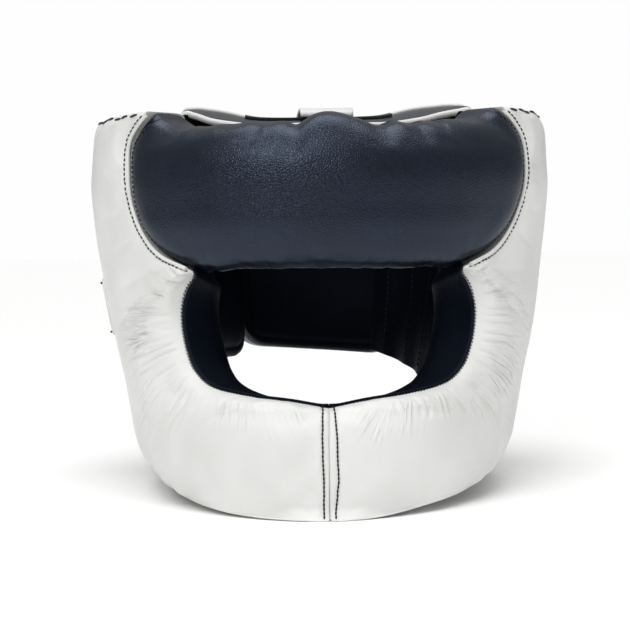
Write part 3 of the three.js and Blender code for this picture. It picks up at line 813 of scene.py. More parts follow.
def side_relief(mesh, side):
    """Heights in millimetres on a side panel: creases, fine fans of wrinkles, lumps and sewn grooves."""
    hand = np.array([-1.0 if side == "left" else 1.0, 1.0, 1.0])
    row = values_of(mesh, "along") * LAST
    width = wrap_width(row)
    off = values_of(mesh, "across") * width
    places = places_of(mesh) * hand
    flat = unrolled(places)
    seed = 1 if side == "left" else 2
    height = sum(tall * bumps(flat, pitch, seed) for tall, pitch in SIDE_LUMPS)
    for wide, deep, line in CREASES[side]:
        height = height + crease(flat, line, CREASE_WIDEN * wide, CREASE_DEEPEN * deep)
    fan = gathered(row, off)
    arm = flat - np.array(FAN_MIDDLE)
    reach = np.linalg.norm(arm, axis=1)
    spin = FAN_REACH * np.arctan2(arm[:, 1], arm[:, 0])
    wave = spin / FAN_PITCH
    for share, pitch, step in FAN_WAVER:
        wave = wave + share * bumps(flat, pitch, seed + step)
    long_patches = np.stack([spin / STREAK_SIZE[0], reach / STREAK_SIZE[1]], -1)
    streak = smooth(bumps(long_patches, 1, seed + 5), *STREAK_STEP)
    height = height - FAN_DEPTH * fan * streak * (1 - np.abs(np.sin(np.pi * wave))) ** 1.5
    outside = values_of(mesh, "inside") < ON_FACE
    store(mesh, "wrinkle_share", fan * (0.35 + 0.65 * streak) * outside)
    lie_along = [spin / WRINKLE_PITCH, reach / WRINKLE_LENGTH, 0 * reach + 9 * seed]
    store(mesh, "wrinkle_place", np.stack(lie_along, -1))
    height = height * smooth(np.minimum(off, width - off), 0, SEAM_CALM)
    seam = np.exp(-(((off - SEAM_STITCH_OFF) / SEAM_GROOVE[1]) ** 2)) * (row < CORNER)
    stitch_x = np.interp(places[:, 2], BAR_STITCH_Z[::-1], BAR_STITCH_X[side][::-1])
    middle = np.exp(-(((places[:, 0] - stitch_x) / BAR_GROOVE[1]) ** 2)) * (row > LAST - 2)
    return (height - SEAM_GROOVE[0] * seam - BAR_GROOVE[0] * middle) * outside


def press(piece, height):
    """Moves a piece's skin along its normals by heights in millimetres."""
    put_places(piece.data, places_of(piece.data) + normals_of(piece.data) * height[:, None])


print("fan pitch in mm:", FAN_PITCH)

# %% [markdown]
# The real one doesn't stand quite straight: its bar has settled to the left, its brow to the right, and
# its right jaw stands a little higher. A lattice modifier could bend it so. Here one function moves the
# finished places, so pads, linings, welts and stitches all move together and the seams stay shut. The
# left half is the right one turned over, and each is then swelled, rounded and creased.

# %% Side panels
BAR_SHIFT = 3.6
BAR_WIDE = 80.0
BAR_TOP = 100.0
BAR_FADE = 70.0
AHEAD_FADE = 40.0
BROW_SHIFT = 2.2
BROW_Z = 172.0
BROW_TALL = 26.0
BROW_SIDES = (96, 124)
RIGHT_LIFT = 2.8
JAW_X = (15, 55)
JAW_TOP = 50.0
JAW_BACK = 30.0


def settle(places):
    """How the soft shell has settled: the bar to the left, the brow to the right, the right jaw up."""
    x, y, z = places[:, 0], places[:, 1], places[:, 2]
    ahead = smooth(-y, 0, AHEAD_FADE)
    bar = np.exp(-((x / BAR_WIDE) ** 2)) * smooth(BAR_TOP - z, 0, BAR_FADE) * ahead
    middle = np.exp(-(((z - BROW_Z) / BROW_TALL) ** 2)) * (1 - smooth(np.abs(x), *BROW_SIDES)) * ahead
    lift = smooth(x, *JAW_X) * smooth(JAW_TOP - z, 0, JAW_TOP) * smooth(JAW_BACK - y, 0, AHEAD_FADE)
    return places + np.stack([BROW_SHIFT * middle - BAR_SHIFT * bar, 0 * x, RIGHT_LIFT * lift], -1)


WRAP_STEPS = (134, 24)
side_pads = {}


def on_side(face, side):
    """A face of the right half, turned over for the left one."""
    if side == "right":
        return face
    return lambda u, v: face(u, v) * np.array([-1.0, 1.0, 1.0])


for side in ("left", "right"):
    name = f"side_wrap_{side}"
    faces = [on_side(face, side) for face in (wrap_outer, wrap_inner)]
    piece = pad_mesh(f"{name}_leather", *faces, *WRAP_STEPS, wall_cuts=2)
    swell(piece, pressure=4.0, spare=0.02, cap=2.5)
    refine(piece, 2)
    press(piece, side_relief(piece.data, side))
    put_places(piece.data, settle(places_of(piece.data)))
    side_pads[side] = piece
    finish_piece(piece, white_leather, name)

# %% [markdown]
# ## The lining of the opening and the hollow
# A soft black leather is turned over the edge of the opening, down its wall and along the inside. It is
# a thin skin that lies just off the padding, so its face is the pad's inner face moved out along the
# true normal, which keeps it even in the corners.

# %% Side linings
LINING_SEAT = 0.6
LINING_THICK = 2.0
LINING_STEPS = (84, 22)
LINING_RIM = 0.97
LINING_START = 0.05
CORNER_EASE = (0.5, 1.6)
MIDDLE_EASE = (0.9, 0.22)
BAR_THIN = 0.45
SKIN_STEP = 0.004
SKIN_LEVEL = 15.0
BAR_MIDDLE = 0.999


def wrap_skin(along, across, skin):
    """The inner face moved off the padding, level at the base and the top."""
    low, high = np.maximum(along - SKIN_STEP, 0), np.minimum(along + SKIN_STEP, 1)
    near, far = np.maximum(across - SKIN_STEP, 0), np.minimum(across + SKIN_STEP, 1)
    down = wrap_inner(high, across) - wrap_inner(low, across)
    rimward = wrap_inner(along, far) - wrap_inner(along, near)
    normal = unit(np.cross(rimward, down))
    place = wrap_inner(along, across)
    z = place[..., 2]
    normal[..., 2] *= smooth(z, 0, SKIN_LEVEL) * smooth(TOP_Z - z, 0, SKIN_LEVEL)
    normal[along > BAR_MIDDLE, 0] = 0
    return place + unit(normal) * np.asarray(skin)[..., None]


def lining_face(seat, thick):
    """One face of the lining: thinner on the bar's wall, and eased off at the corner and the middle."""

    def face(along, across):
        row = along * LAST
        first = mix(WALL + LINING_START, 0.0, smooth(row - CORNER, -0.7, 0.0))
        ease = CORNER_EASE[0] * np.sin(np.pi * np.clip((row - CORNER) / CORNER_EASE[1], 0, 1))
        ease = ease + MIDDLE_EASE[0] * smooth(row, LAST - MIDDLE_EASE[1], LAST)
        on_bar = smooth(row, 11, 13) * (1 - smooth(across, 0.1, 0.3))
        skin = seat + thick * mix(1.0, BAR_THIN, on_bar)
        return wrap_skin(along, mix(first, LINING_RIM, across), skin + ease)

    return face


for side in ("left", "right"):
    faces = [on_side(lining_face(LINING_SEAT, thick), side) for thick in (0.0, LINING_THICK)]
    piece = pad_mesh(f"side_lining_{side}_leather", *faces, *LINING_STEPS)
    refine(piece, 1)
    put_places(piece.data, settle(places_of(piece.data)))
    finish_piece(piece, lining_leather, f"side_lining_{side}")

# %% [markdown]
# ## The forehead pad
# One black panel lies across the brow between the two curved seams. Its top edge waves a little, because
# the crown pulls it down on both sides of the middle, and both long edges roll over the foam. It is made
# as the sides are, between two faces, so that its side seams are the same curves as theirs.

# %% The forehead pad's pattern
BROW_LEFT_AT = [-1, -0.95, -0.85, -0.8, -0.72, -0.65, -0.59, -0.5, -0.44, -0.39, -0.35, -0.28, -0.22]
BROW_LEFT_TOP = [200.5, 196.4, 193, 192.1, 192.7, 191.8, 192.6, 192.4, 193.2, 193.4, 192.3, 193.2, 193.3]
BROW_MID_AT = [-0.195, -0.166, -0.145, -0.119, -0.082, -0.04, 0.01, 0.05, 0.09, 0.17, 0.232, 0.276]
BROW_MID_TOP = [191.6, 191, 192.2, 194.3, 196.2, 197.4, 197.6, 197.2, 196, 193.7, 191, 191]
BROW_RIGHT_AT = [0.32, 0.36, 0.415, 0.445, 0.49, 0.575, 0.625, 0.69, 0.745, 0.83, 0.9, 0.955, 1]
BROW_RIGHT_TOP = [193.2, 193, 191.7, 191.8, 193.3, 192.4, 193.9, 194.2, 194.4, 194.9, 196, 199.4, 201.2]
BROW_BOTTOM_AT = [-1, -0.6, 0, 0.6, 1]
BROW_BOTTOM = [119.8, 121.4, 121.6, 121.4, 120.2]
BROW_TOP_ROLL = (12.0, 20.0)
BROW_FOAM = 36.0
BROW_TUCK = 9.0
BROW_ROOM = 1.6
BROW_ROLL = (13.0, 26.0)
BROW_SIDE = (7.5, 19.0)
BROW_CREST_AT = [-1, -0.85, -0.5, -0.2, 0, 0.2, 0.5, 0.85, 1]
BROW_CREST = [200, 195, 193, 194, 196, 194, 193, 196, 200]
CREST_BLEND = (0.98, 0.8)
KEEN_FROM = 0.87
KEEN_RATE = 8.0
WELT_GAP = 0.2
BROW_STEPS = (56, 26)
brow_top_at = through(
    BROW_LEFT_AT + BROW_MID_AT + BROW_RIGHT_AT, BROW_LEFT_TOP + BROW_MID_TOP + BROW_RIGHT_TOP
)
brow_bottom_at = through(BROW_BOTTOM_AT, BROW_BOTTOM)
brow_crest_at = through(BROW_CREST_AT, BROW_CREST)
seam_x_by_z = through(SEAM_Z[CORNER::-1], SEAM_X[CORNER::-1])


def brow_place(along, across, lift=0.0):
    """Angle, height and share of the half width of a place on the forehead pad."""
    share = 2 * along - 1
    z = mix(brow_bottom_at(share) + lift, brow_top_at(share), across)
    seam_z = mix(SEAM_Z[CORNER], SEAM_Z[0], across)
    return share * front_deg(seam_x_by_z(seam_z) - WELT_GAP, seam_z), z, share


def brow_to_seam(along, across, lift=0.0):
    """The distance from a place on the forehead pad to its nearer side seam."""
    side_deg, side_z, _ = brow_place(np.where(along > 0.5, 1.0, 0.0), across, lift)
    deg, z, _ = brow_place(along, across, lift)
    return np.linalg.norm(crest(deg, z) - crest(side_deg, side_z), axis=-1)


def brow_face(inner):
    """The outer or the inner face of the forehead pad."""

    def face(along, across):
        lift = BROW_TUCK if inner else 0.0
        deg, z, share = brow_place(along, across, lift)
        to_seam = brow_to_seam(along, across, lift)
        top = mix(brow_top_at(share), brow_crest_at(share), smooth(across, *CREST_BLEND))
        to_top = np.maximum(0, top - z)
        to_bottom = z - brow_bottom_at(share) - lift
        if inner:
            rise = roll(HOLLOW_EDGE, to_top) + roll(HOLLOW_EDGE, to_bottom) + roll(PANEL_INNER, to_seam)
            return shell(deg, z, rise - BROW_FOAM)
        keen = KEEN_RATE * (np.abs(share) - KEEN_FROM)
        top_roll = roll(borders_at(BROW_TOP_ROLL, TOP_ROLL, keen), to_top)
        room = swell_room(along, across, BROW_ROOM)
        return shell(deg, z, -top_roll - roll(BROW_ROLL, to_bottom) - roll(BROW_SIDE, to_seam) - room)

    return face


print("forehead pad's height in mm at its middle:", round(float(brow_top_at(0) - brow_bottom_at(0))))

# %% [markdown]
# The sewn strip at the sides, the puckers at both long edges and the lumps of the foam are pressed in
# after the swelling, as on the sides. Puckers come from noise that is stretched along the height, so
# they run across the edge as gathered leather does.

# %% Forehead pad
BROW_STITCH_OFF = 4.2
BROW_LUMPS = ((0.5, 40, 7), (0.12, 15, 8))
PUCKER_LOW = (0.6, 6)
PUCKER_HIGH = (0.35, 4)
BROW_CALM = 8.0
BROW_STRIP = (0.4, 0.8)
BROW_GROOVE = (0.8, 0.9)


def brow_relief(mesh):
    """Heights on the forehead pad: the sewn strip at its sides, puckers at its long edges, and lumps."""
    along = values_of(mesh, "along")
    across = values_of(mesh, "across")
    deg, z, share = brow_place(along, across)
    to_seam = brow_to_seam(along, across)
    to_top = brow_top_at(share) - z
    to_bottom = z - brow_bottom_at(share)
    flat = np.stack([deg * DEG_MM, z], -1)
    small = bumps(np.stack([flat[:, 0] / 3, z / 30], -1), 1, 6)
    pucker = bumps(np.stack([flat[:, 0] / 7, z / 40], -1), 1, 5) + 0.6 * small
    height = sum(tall * bumps(flat, pitch, seed) for tall, pitch, seed in BROW_LUMPS)
    height = height + PUCKER_LOW[0] * pucker * np.exp(-to_bottom / PUCKER_LOW[1])
    height = height + PUCKER_HIGH[0] * pucker * np.exp(-to_top / PUCKER_HIGH[1])
    height = height * smooth(to_seam, 0, BROW_CALM)
    groove = np.exp(-(((to_seam - BROW_STITCH_OFF) / BROW_GROOVE[1]) ** 2))
    strip = np.exp(-(((to_seam - 0.5 * BROW_STITCH_OFF) / BROW_STRIP[1]) ** 2))
    height = height + BROW_STRIP[0] * strip - BROW_GROOVE[0] * groove
    return height * (values_of(mesh, "inside") < ON_FACE)


brow = pad_mesh("forehead_pad_leather", brow_face(False), brow_face(True), *BROW_STEPS, wall_cuts=4)
swell(brow, pressure=4.0, spare=0.004, cap=2.5)
refine(brow, 2)
press(brow, brow_relief(brow.data))
put_places(brow.data, settle(places_of(brow.data)))
finish_piece(brow, black_leather, "forehead_pad")

# %% [markdown]
# ## Ear panels
# Behind each side a white panel covers the ear. It is a plainer and thinner pad with a rounded lower
# corner, and a black lining with a piped border hangs a little below it. The photo shows only a sliver
# of it and its lining inside, so the outside is kept plain.

# %% Ear panels
REAR_DEG = through(RIM_Z[CORNER::-1], RIM_DEG[CORNER::-1])
EAR_TO = 154.0
EAR_FOAM = (38.0, 27.0)
EAR_BOTTOM = (59.0, 64.0)
EAR_CORNER = 16.0
PANEL_SIDE = (6.0, 14.0)
PANEL_BOTTOM = (9.0, 16.0)
EAR_STEPS = (18, 26)
EAR_LEVEL = 130.0
EAR_GAP = 0.3


def round_corner(size, distance):
    """How far a rounded corner cuts in at a distance from the panel's side."""
    q = np.clip(1 - distance / size, 0, 1)
    return size * (1 - np.sqrt(1 - q * q))


def ear_face(inner, skin=0.0):
    """The outer or the inner face of an ear panel, or a skin on the inner one."""

    def face(along, across):
        length = np.linalg.norm(crest(REAR_DEG(TOP_Z), EAR_LEVEL) - crest(EAR_TO, EAR_LEVEL))
        low = mix(*EAR_BOTTOM, along) + round_corner(EAR_CORNER, (1 - along) * length)
        z = mix(low, TOP_Z, across)
        deg = mix(REAR_DEG(z) + EAR_GAP, EAR_TO, along)
        side_roll = PANEL_INNER if inner else PANEL_SIDE
        drop = roll(side_roll, along * length) + roll(side_roll, (1 - along) * length)
        drop = drop + roll(PANEL_INNER if inner else PANEL_BOTTOM, z - low)
        drop = drop + roll(HOLLOW_TOP if inner else TOP_ROLL, TOP_Z - z)
        if inner:
            return shell(deg, z, drop - mix(*EAR_FOAM, along) - skin)
        return shell(deg, z, -drop)

    return face


LINING_HANG = 3.5
LINING_ALONG = (0.02, 0.985)
LINING_ACROSS = (0.0, 0.97)
HANG_SHARE = 0.12
BEAD = (0.7, 1.8, 1.2)
BEAD_GROOVE = (0.9, 4.6, 1.0)
EAR_SIZE = (90, 130)
EAR_LINING_STEPS = (36, 52)


def inset(face):
    """The same face drawn in a little from its borders, and hung below the panel's lower edge."""

    def hung(u, v):
        place = face(mix(*LINING_ALONG, u), mix(*LINING_ACROSS, v))
        place[..., 2] -= LINING_HANG * (1 - smooth(v, 0, HANG_SHARE))
        return place

    return hung


def bead(mesh, wide, tall):
    """Heights of a piped border: a groove inside it, and a round edge outside the groove."""
    along = values_of(mesh, "along")
    across = values_of(mesh, "across")
    edge = np.minimum.reduce([along * wide, (1 - along) * wide, across * tall, (1 - across) * tall])
    rise, groove = (
        high * np.exp(-(((edge - at) / broad) ** 2)) for high, at, broad in (BEAD, BEAD_GROOVE)
    )
    return rise - groove


for side in ("left", "right"):
    faces = [on_side(ear_face(inner), side) for inner in (False, True)]
    piece = pad_mesh(f"ear_panel_{side}_leather", *faces, *EAR_STEPS)
    swell(piece, pressure=3.0, spare=0.02, cap=2.0)
    refine(piece, 2)
    finish_piece(piece, white_leather, f"ear_panel_{side}")
    depths = (LINING_SEAT, LINING_SEAT + LINING_THICK)
    skins = [on_side(inset(ear_face(True, depth)), side) for depth in depths]
    piece = pad_mesh(f"ear_lining_{side}_leather", *skins, *EAR_LINING_STEPS)
    refine(piece, 1)
    press(piece, bead(piece.data, *EAR_SIZE) * (values_of(piece.data, "inside") > 1 - ON_FACE))
    finish_piece(piece, lining_leather, f"ear_lining_{side}")

# %% [markdown]
# ## Back panel
# A black panel closes the back, and its inside shows through the eye opening. It is one pad with four
# rounded corners and a piped border. Outside it is the forehead's leather and inside the lining, so the
# two materials are given out face by face, and no second skin is needed.

# %% Back panel
BACK_FROM = 154.5
BACK_FOAM = 25.0
BACK_LOW = (60.0, 68.0)
BACK_HIGH = 199.0
BACK_CORNER = 18.0
BACK_STEPS = (30, 26)
BACK_SIZE = (95, 128)


def back_face(inner):
    """The outer or the inner face of the back panel."""

    def face(along, across):
        deg = mix(BACK_FROM, 360 - BACK_FROM, along)
        length = np.linalg.norm(crest(BACK_FROM, EAR_LEVEL) - crest(360 - BACK_FROM, EAR_LEVEL))
        to_side = np.minimum(along, 1 - along) * length
        low = mix(*BACK_LOW, along) + round_corner(BACK_CORNER, to_side)
        high = BACK_HIGH - round_corner(BACK_CORNER, to_side)
        z = mix(low, high, across)
        if inner:
            rise = roll(PANEL_INNER, to_side) + roll(PANEL_INNER, z - low) + roll(PANEL_INNER, high - z)
            return shell(deg, z, rise - BACK_FOAM)
        drop = roll(PANEL_SIDE, to_side) + roll(PANEL_BOTTOM, z - low) + roll(PANEL_BOTTOM, high - z)
        return shell(deg, z, -drop)

    return face


back = pad_mesh("back_panel_leather", back_face(False), back_face(True), *BACK_STEPS)
swell(back, pressure=3.0, spare=0.02, cap=2.0)
refine(back, 2)
press(back, bead(back.data, *BACK_SIZE))
finish_piece(back, black_leather, "back_panel")
back.data.materials.append(lining_leather)
hidden = values_of(back.data, "inside")
for face in back.data.polygons:
    face.material_index = int(np.mean(hidden[list(face.vertices)]) > 0.5)

# %% [markdown]
# ## Gusset
# A thin ribbed fold lets the right side open at the back, and its ribs show through the eye opening. It
# follows the ear panel's lining, and a squared sine raises its ribs. Ribs as pieces of their own would
# leave cracks between them.

# %% Gusset
GUSSET_DEG = (118.0, 158.0)
GUSSET_LOW = (44.0, 62.0)
GUSSET_HIGH = 176.0
GUSSET_THICK = 2.2
GUSSET_RIBS = 3
RIB_HEIGHT = 1.6
GUSSET_CLEAR = 0.8
GUSSET_STEPS = (36, 30)


def gusset_face(skin):
    """A face of the gusset: the flat one at no skin, the ribbed one above it."""

    def face(along, across):
        deg = mix(*GUSSET_DEG, along)
        z = mix(mix(*GUSSET_LOW, along), GUSSET_HIGH, across)
        share = np.clip((deg - REAR_DEG(z)) / (EAR_TO - REAR_DEG(z)), 0, 1)
        seat = mix(*EAR_FOAM, share) + LINING_THICK + LINING_SEAT + GUSSET_CLEAR
        rib = RIB_HEIGHT * np.sin(np.pi * GUSSET_RIBS * along) ** 2
        return shell(deg, z, -seat - skin - (rib if skin > 0 else 0))

    return face


gusset = pad_mesh("back_gusset_leather", gusset_face(0.0), gusset_face(GUSSET_THICK), *GUSSET_STEPS)
refine(gusset, 1)
finish_piece(gusset, lining_leather, "back_gusset")

# %% [markdown]
# ## Closing strap
# A white strap runs round the back and ends on the left side, where its end stands out at the outline.
# It is flat leather, so it is modelled directly, as two faces a leather's thickness apart. Cloth would
# only make it puffy. Its run behind the ear isn't in the photo, and is plain.

# %% Closing strap
LEATHER = 2.6
STRAP_DEG = (89.0, 196.0)
STRAP_Z = (82.5, 114.5)
STRAP_END = 2.5
STRAP_SEAT = 0.3
STRAP_LIFT = -0.6
STRAP_FREE = 0.13
STRAP_STEPS = (60, 12)


def back_strap_face(depth):
    """A face of the strap, at a depth over the crest and lower towards its free end."""

    def face(along, across):
        start, stop = (crest(deg, STRAP_Z[1]) for deg in STRAP_DEG)
        length = np.linalg.norm(start - stop)
        cut = round_corner(STRAP_END, along * length)
        z = mix(STRAP_Z[0] + cut, STRAP_Z[1] - cut, across)
        lift = STRAP_LIFT * (1 - smooth(along, 0, STRAP_FREE))
        return shell(-mix(*STRAP_DEG, along), z, depth + lift)

    return face


strap_faces = [back_strap_face(STRAP_SEAT + LEATHER), back_strap_face(STRAP_SEAT)]
back_strap = pad_mesh("back_strap_leather", *strap_faces, *STRAP_STEPS)
refine(back_strap, 1)
finish_piece(back_strap, white_leather, "back_strap")

# %% [markdown]
# ## Crown
# Two black flaps cover the head and meet in the middle, edged with white piping. Each flap is a sheet
# between the padding at the side and the middle line: it rises steeply from the side, and domes a little
# between front and back. The right one bulges over the padding beside it. The rear of the crown is a
# guess.

# %% The crown's form
CROWN_DEG = (76.0, 144.0)
CROWN_Y = (-32.0, 86.0)
CROWN_MEET = 1.0
CROWN_THICK = 5.0
CROWN_SEAT_Z = 190.0
CROWN_SEAT_FOAM = 39.4
CROWN_CLEAR = 0.9
CROWN_AT = [0, 0.06, 0.13, 0.25, 0.4, 0.55, 0.75, 1]
CROWN_RISE = [0, 12.3, 12, 8.4, 5.8, 4, 3.2, 2.8]
DOME_AT = [0, 0.12, 0.25, 0.4, 0.6, 1]
DOME_RISE = [0, 4.5, 7.4, 7.4, 5.2, 4]
crown_rise_at = through(CROWN_AT, CROWN_RISE)
dome_rise_at = through(DOME_AT, DOME_RISE)


def crown_place(along, inward):
    """The crown's lower face: along from front to back, inward from the side to the middle."""
    along, inward = np.broadcast_arrays(np.asarray(along, float), np.asarray(inward, float))
    deg = mix(*CROWN_DEG, along)
    ear = np.clip((deg - REAR_DEG(TOP_Z)) / (EAR_TO - REAR_DEG(TOP_Z)), 0, 1)
    foam = np.where(deg < REAR_DEG(TOP_Z), CROWN_SEAT_FOAM, mix(*EAR_FOAM, ear))
    side_place = shell(deg, CROWN_SEAT_Z, -foam - LINING_THICK - LINING_SEAT - CROWN_CLEAR)
    middle = np.stack([0 * along + CROWN_MEET, mix(*CROWN_Y, along), 0 * along + CROWN_SEAT_Z], -1)
    place = mix(side_place, middle, inward[..., None])
    place[..., 2] += crown_rise_at(inward) + dome_rise_at(inward) * np.sin(np.pi * along)
    return place


def crown_face(height):
    """A face of a flap at a height over the crown's lower face."""
    return lambda along, inward: crown_place(along, inward) + np.array([0, 0, height])


FLAP_LEAN = 9.0
LEAN_X = (52, 74)
LEAN_Z = (199, 204)


def lean_out(places):
    """The right flap bulges a little over the padding beside it."""
    share = smooth(places[:, 0], *LEAN_X) * smooth(places[:, 2], *LEAN_Z)
    return places + np.outer(share * FLAP_LEAN, [1.0, 0.0, 0.0])


print("crown's top in mm:", round(float(crown_place(0.5, 0.25)[2] + CROWN_THICK)))

# %% [markdown]
# Patches of loop pile on the flaps hold the crown strap. Each lies on its flap as a thin sheet of its
# own, because pile ends in a cut edge that a painted patch would not have.

# %% Crown flaps and loop patches
FLAP_STEPS = (28, 26)
PATCH_STEPS = (40, 26)
PATCH_ALONG = (0.2, 0.72)
PATCH_INWARD = (0.5, 0.97)
PATCH_SEAT = 0.3
PATCH_THICK = 1.4


def patch_face(height):
    """A face of a loop patch at a height over its flap."""
    return lambda u, v: crown_face(CROWN_THICK + height)(mix(*PATCH_ALONG, u), mix(*PATCH_INWARD, v))


for side in ("left", "right"):
    skins = [on_side(crown_face(height), side) for height in (CROWN_THICK, 0.0)]
    piece = pad_mesh(f"crown_flap_{side}_leather", *skins, *FLAP_STEPS)
    refine(piece, 1)
    put_places(piece.data, lean_out(places_of(piece.data)))
    finish_piece(piece, black_leather, f"crown_flap_{side}")
    heights = (PATCH_SEAT + PATCH_THICK, PATCH_SEAT)
    skins = [on_side(patch_face(height), side) for height in heights]
    piece = pad_mesh(f"loop_patch_{side}_pile", *skins, *PATCH_STEPS)
    refine(piece, 1)
    finish_piece(piece, loop_pile, f"loop_patch_{side}")

# %% [markdown]
# A white strap lies over the middle of the crown, and its front end shows above the forehead. It is flat
# leather on a curve of heights from front to back, a little off the middle as in the photo. A curve with
# a flat bevel would do too, but this way it is a closed skin like the other pieces.

# %% Crown strap
CROWN_STRAP_Y = [-23, -14, 0, 22, 60, 88, 105, 115, 126]
CROWN_STRAP_Z = [200.8, 203.4, 204.8, 205.4, 205.2, 204, 201.8, 199.9, 199.4]
CROWN_STRAP_X = (-11.0, 18.0)
crown_strap_at = through(CROWN_STRAP_Y, CROWN_STRAP_Z)


def crown_strap_face(height):
    """A face of the crown strap at a height over its underside."""

    def face(along, across):
        y = mix(CROWN_STRAP_Y[0], CROWN_STRAP_Y[-1], along)
        return np.stack([mix(*CROWN_STRAP_X, across), y, crown_strap_at(y) + height], -1)

    return face


strap_faces = [crown_strap_face(LEATHER), crown_strap_face(0.0)]
crown_strap = pad_mesh("crown_strap_leather", *strap_faces, *STRAP_STEPS)
refine(crown_strap, 1)
finish_piece(crown_strap, white_leather, "crown_strap")

# %% [markdown]
# ## Welts and piping
# A welt is a strip of leather folded over a cord and caught in a seam, and piping is the same on a free
# edge. Neither hangs loose. A curve with a round bevel makes one quickly, and it is then turned into a
# mesh like the other pieces.

# %% Welts and piping


def cord(name, points, radius, node):
    """A round cord through points in millimetres, as a mesh."""
    curve = bpy.data.curves.new(name, "CURVE")
    curve.dimensions = "3D"
    curve.bevel_depth = radius * MM
    curve.bevel_resolution = 3
    curve.use_fill_caps = True
    spline = curve.splines.new("POLY")
    spline.points.add(len(points) - 1)
    for point, place in zip(spline.points, points):
        point.co = (*(place * MM), 1.0)
    drawn = bpy.data.objects.new(f"{name}_curve", curve)
    bpy.context.scene.collection.objects.link(drawn)
    bpy.context.view_layer.update()
    mesh = bpy.data.meshes.new_from_object(drawn.evaluated_get(bpy.context.evaluated_depsgraph_get()))
    bpy.data.objects.remove(drawn)
    mesh.name = name
    piece = bpy.data.objects.new(name, mesh)
    bpy.context.scene.collection.objects.link(piece)
    finish_piece(piece, white_leather, node)


WELT_RADIUS = 1.1
WELT_DEPTH = -3.4
WELT_TURN = 0.1
WELT_END = 0.12
PIPING_RADIUS = 1.9
PIPING_GAP = 0.4
RIDGE_RADIUS = 1.2
RIDGE_ALONG = 0.4
RIDGE_LIFT = 0.4
welt_row = np.linspace(WELT_END, CORNER - WELT_END, 80)
welt_deg, welt_z = seam_place(welt_row)
welt_line = shell(welt_deg - WELT_TURN, welt_z, WELT_DEPTH - roll(TOP_ROLL, TOP_Z - welt_z))
piping_share = np.linspace(0.04, 0.98, 60)
piping_line = crown_place(0 * piping_share, piping_share)
piping_line = piping_line + np.array([0, -PIPING_RADIUS - PIPING_GAP, CROWN_THICK / 2])
ridge_share = np.linspace(0.03, 0.5, 40)
ridge_line = crown_place(0 * ridge_share + RIDGE_ALONG, ridge_share)
ridge_line = ridge_line + np.array([0, 0, CROWN_THICK + RIDGE_LIFT])
for side, sign in (("left", -1), ("right", 1)):
    hand = np.array([sign, 1, 1])
    cord(f"forehead_welt_{side}_cord", settle(welt_line * hand), WELT_RADIUS, f"forehead_welt_{side}")
    line = lean_out(piping_line * hand)
    cord(f"crown_piping_{side}_cord", line, PIPING_RADIUS, f"crown_piping_{side}")
    cord(f"crown_ridge_{side}_cord", lean_out(ridge_line * hand), RIDGE_RADIUS, None)

# %% [markdown]
# ## Stitches
# Each stitch is a short length of thread, so one small closed shape is laid again and again along a
# seam: its long axis follows the line and it is half sunk in the leather. The finished surface carries
# them, because the nearest place on it gives both the point and the direction outwards. On the bar a ray
# from the front is used instead, since the nearest place may lie in the middle seam.

# %% Stitch helper


AHEAD = Vector((0.0, 0.1, 0.0))


def surface_of(piece):
    """A piece's mesh as a tree that finds the nearest place quickly."""
    return BVHTree.FromPolygons(
        [v.co[:] for v in piece.data.vertices], [p.vertices[:] for p in piece.data.polygons]
    )


def lay_stitches(name, surface, line, pitch, length, radius, tilt=0.0, sink=0.35, ahead=False):
    """Stitches along a line of places in millimetres, laid on a surface and joined into one mesh.

    Ahead: they are laid straight from the front, not at the nearest place.
    """
    spans = np.linalg.norm(np.diff(line, axis=0), axis=1)
    run = np.concatenate([[0], np.cumsum(spans)])
    count = max(2, int(run[-1] / pitch))
    lean = math.radians(tilt)
    bm = bmesh.new()
    for i in range(count):
        ends = [(i + 0.5) * run[-1] / count + s * length / 2 for s in (-0.5, 0.5)]
        a, b = (Vector([np.interp(e, run, line[:, k]) for k in range(3)]) * MM for e in ends)
        middle = (a + b) / 2
        place, normal, _, _ = surface.find_nearest(middle)
        if ahead:
            place, normal, _, _ = surface.ray_cast(middle - AHEAD, AHEAD)
        if place is None:
            continue
        way = (b - a).normalized()
        aside = normal.cross(way).normalized()
        way = aside.cross(normal) * math.cos(lean) + aside * math.sin(lean)
        turn = Matrix((way, normal.cross(way), normal)).transposed().to_4x4()
        shape = Matrix.Diagonal((length / 2 * MM, radius * MM, radius * MM, 1))
        seat = Matrix.Translation(place + normal * radius * MM * (1 - 2 * sink))
        bmesh.ops.create_uvsphere(bm, u_segments=6, v_segments=5, radius=1.0, matrix=seat @ turn @ shape)
    finish_piece(new_piece(name, bm), thread, None)


print("rays for the bar start in mm in front:", round(AHEAD.y / MM))

# %% [markdown]
# The sides carry most rows: beside the forehead seam, over the edge of the opening, along the rear, over
# the top edge and beside the middle of the bar. The forehead has one along each side seam. Each row has
# its own pitch, stitch length and thread radius in millimetres. Whip stitches go over an edge, so they
# are tilted.

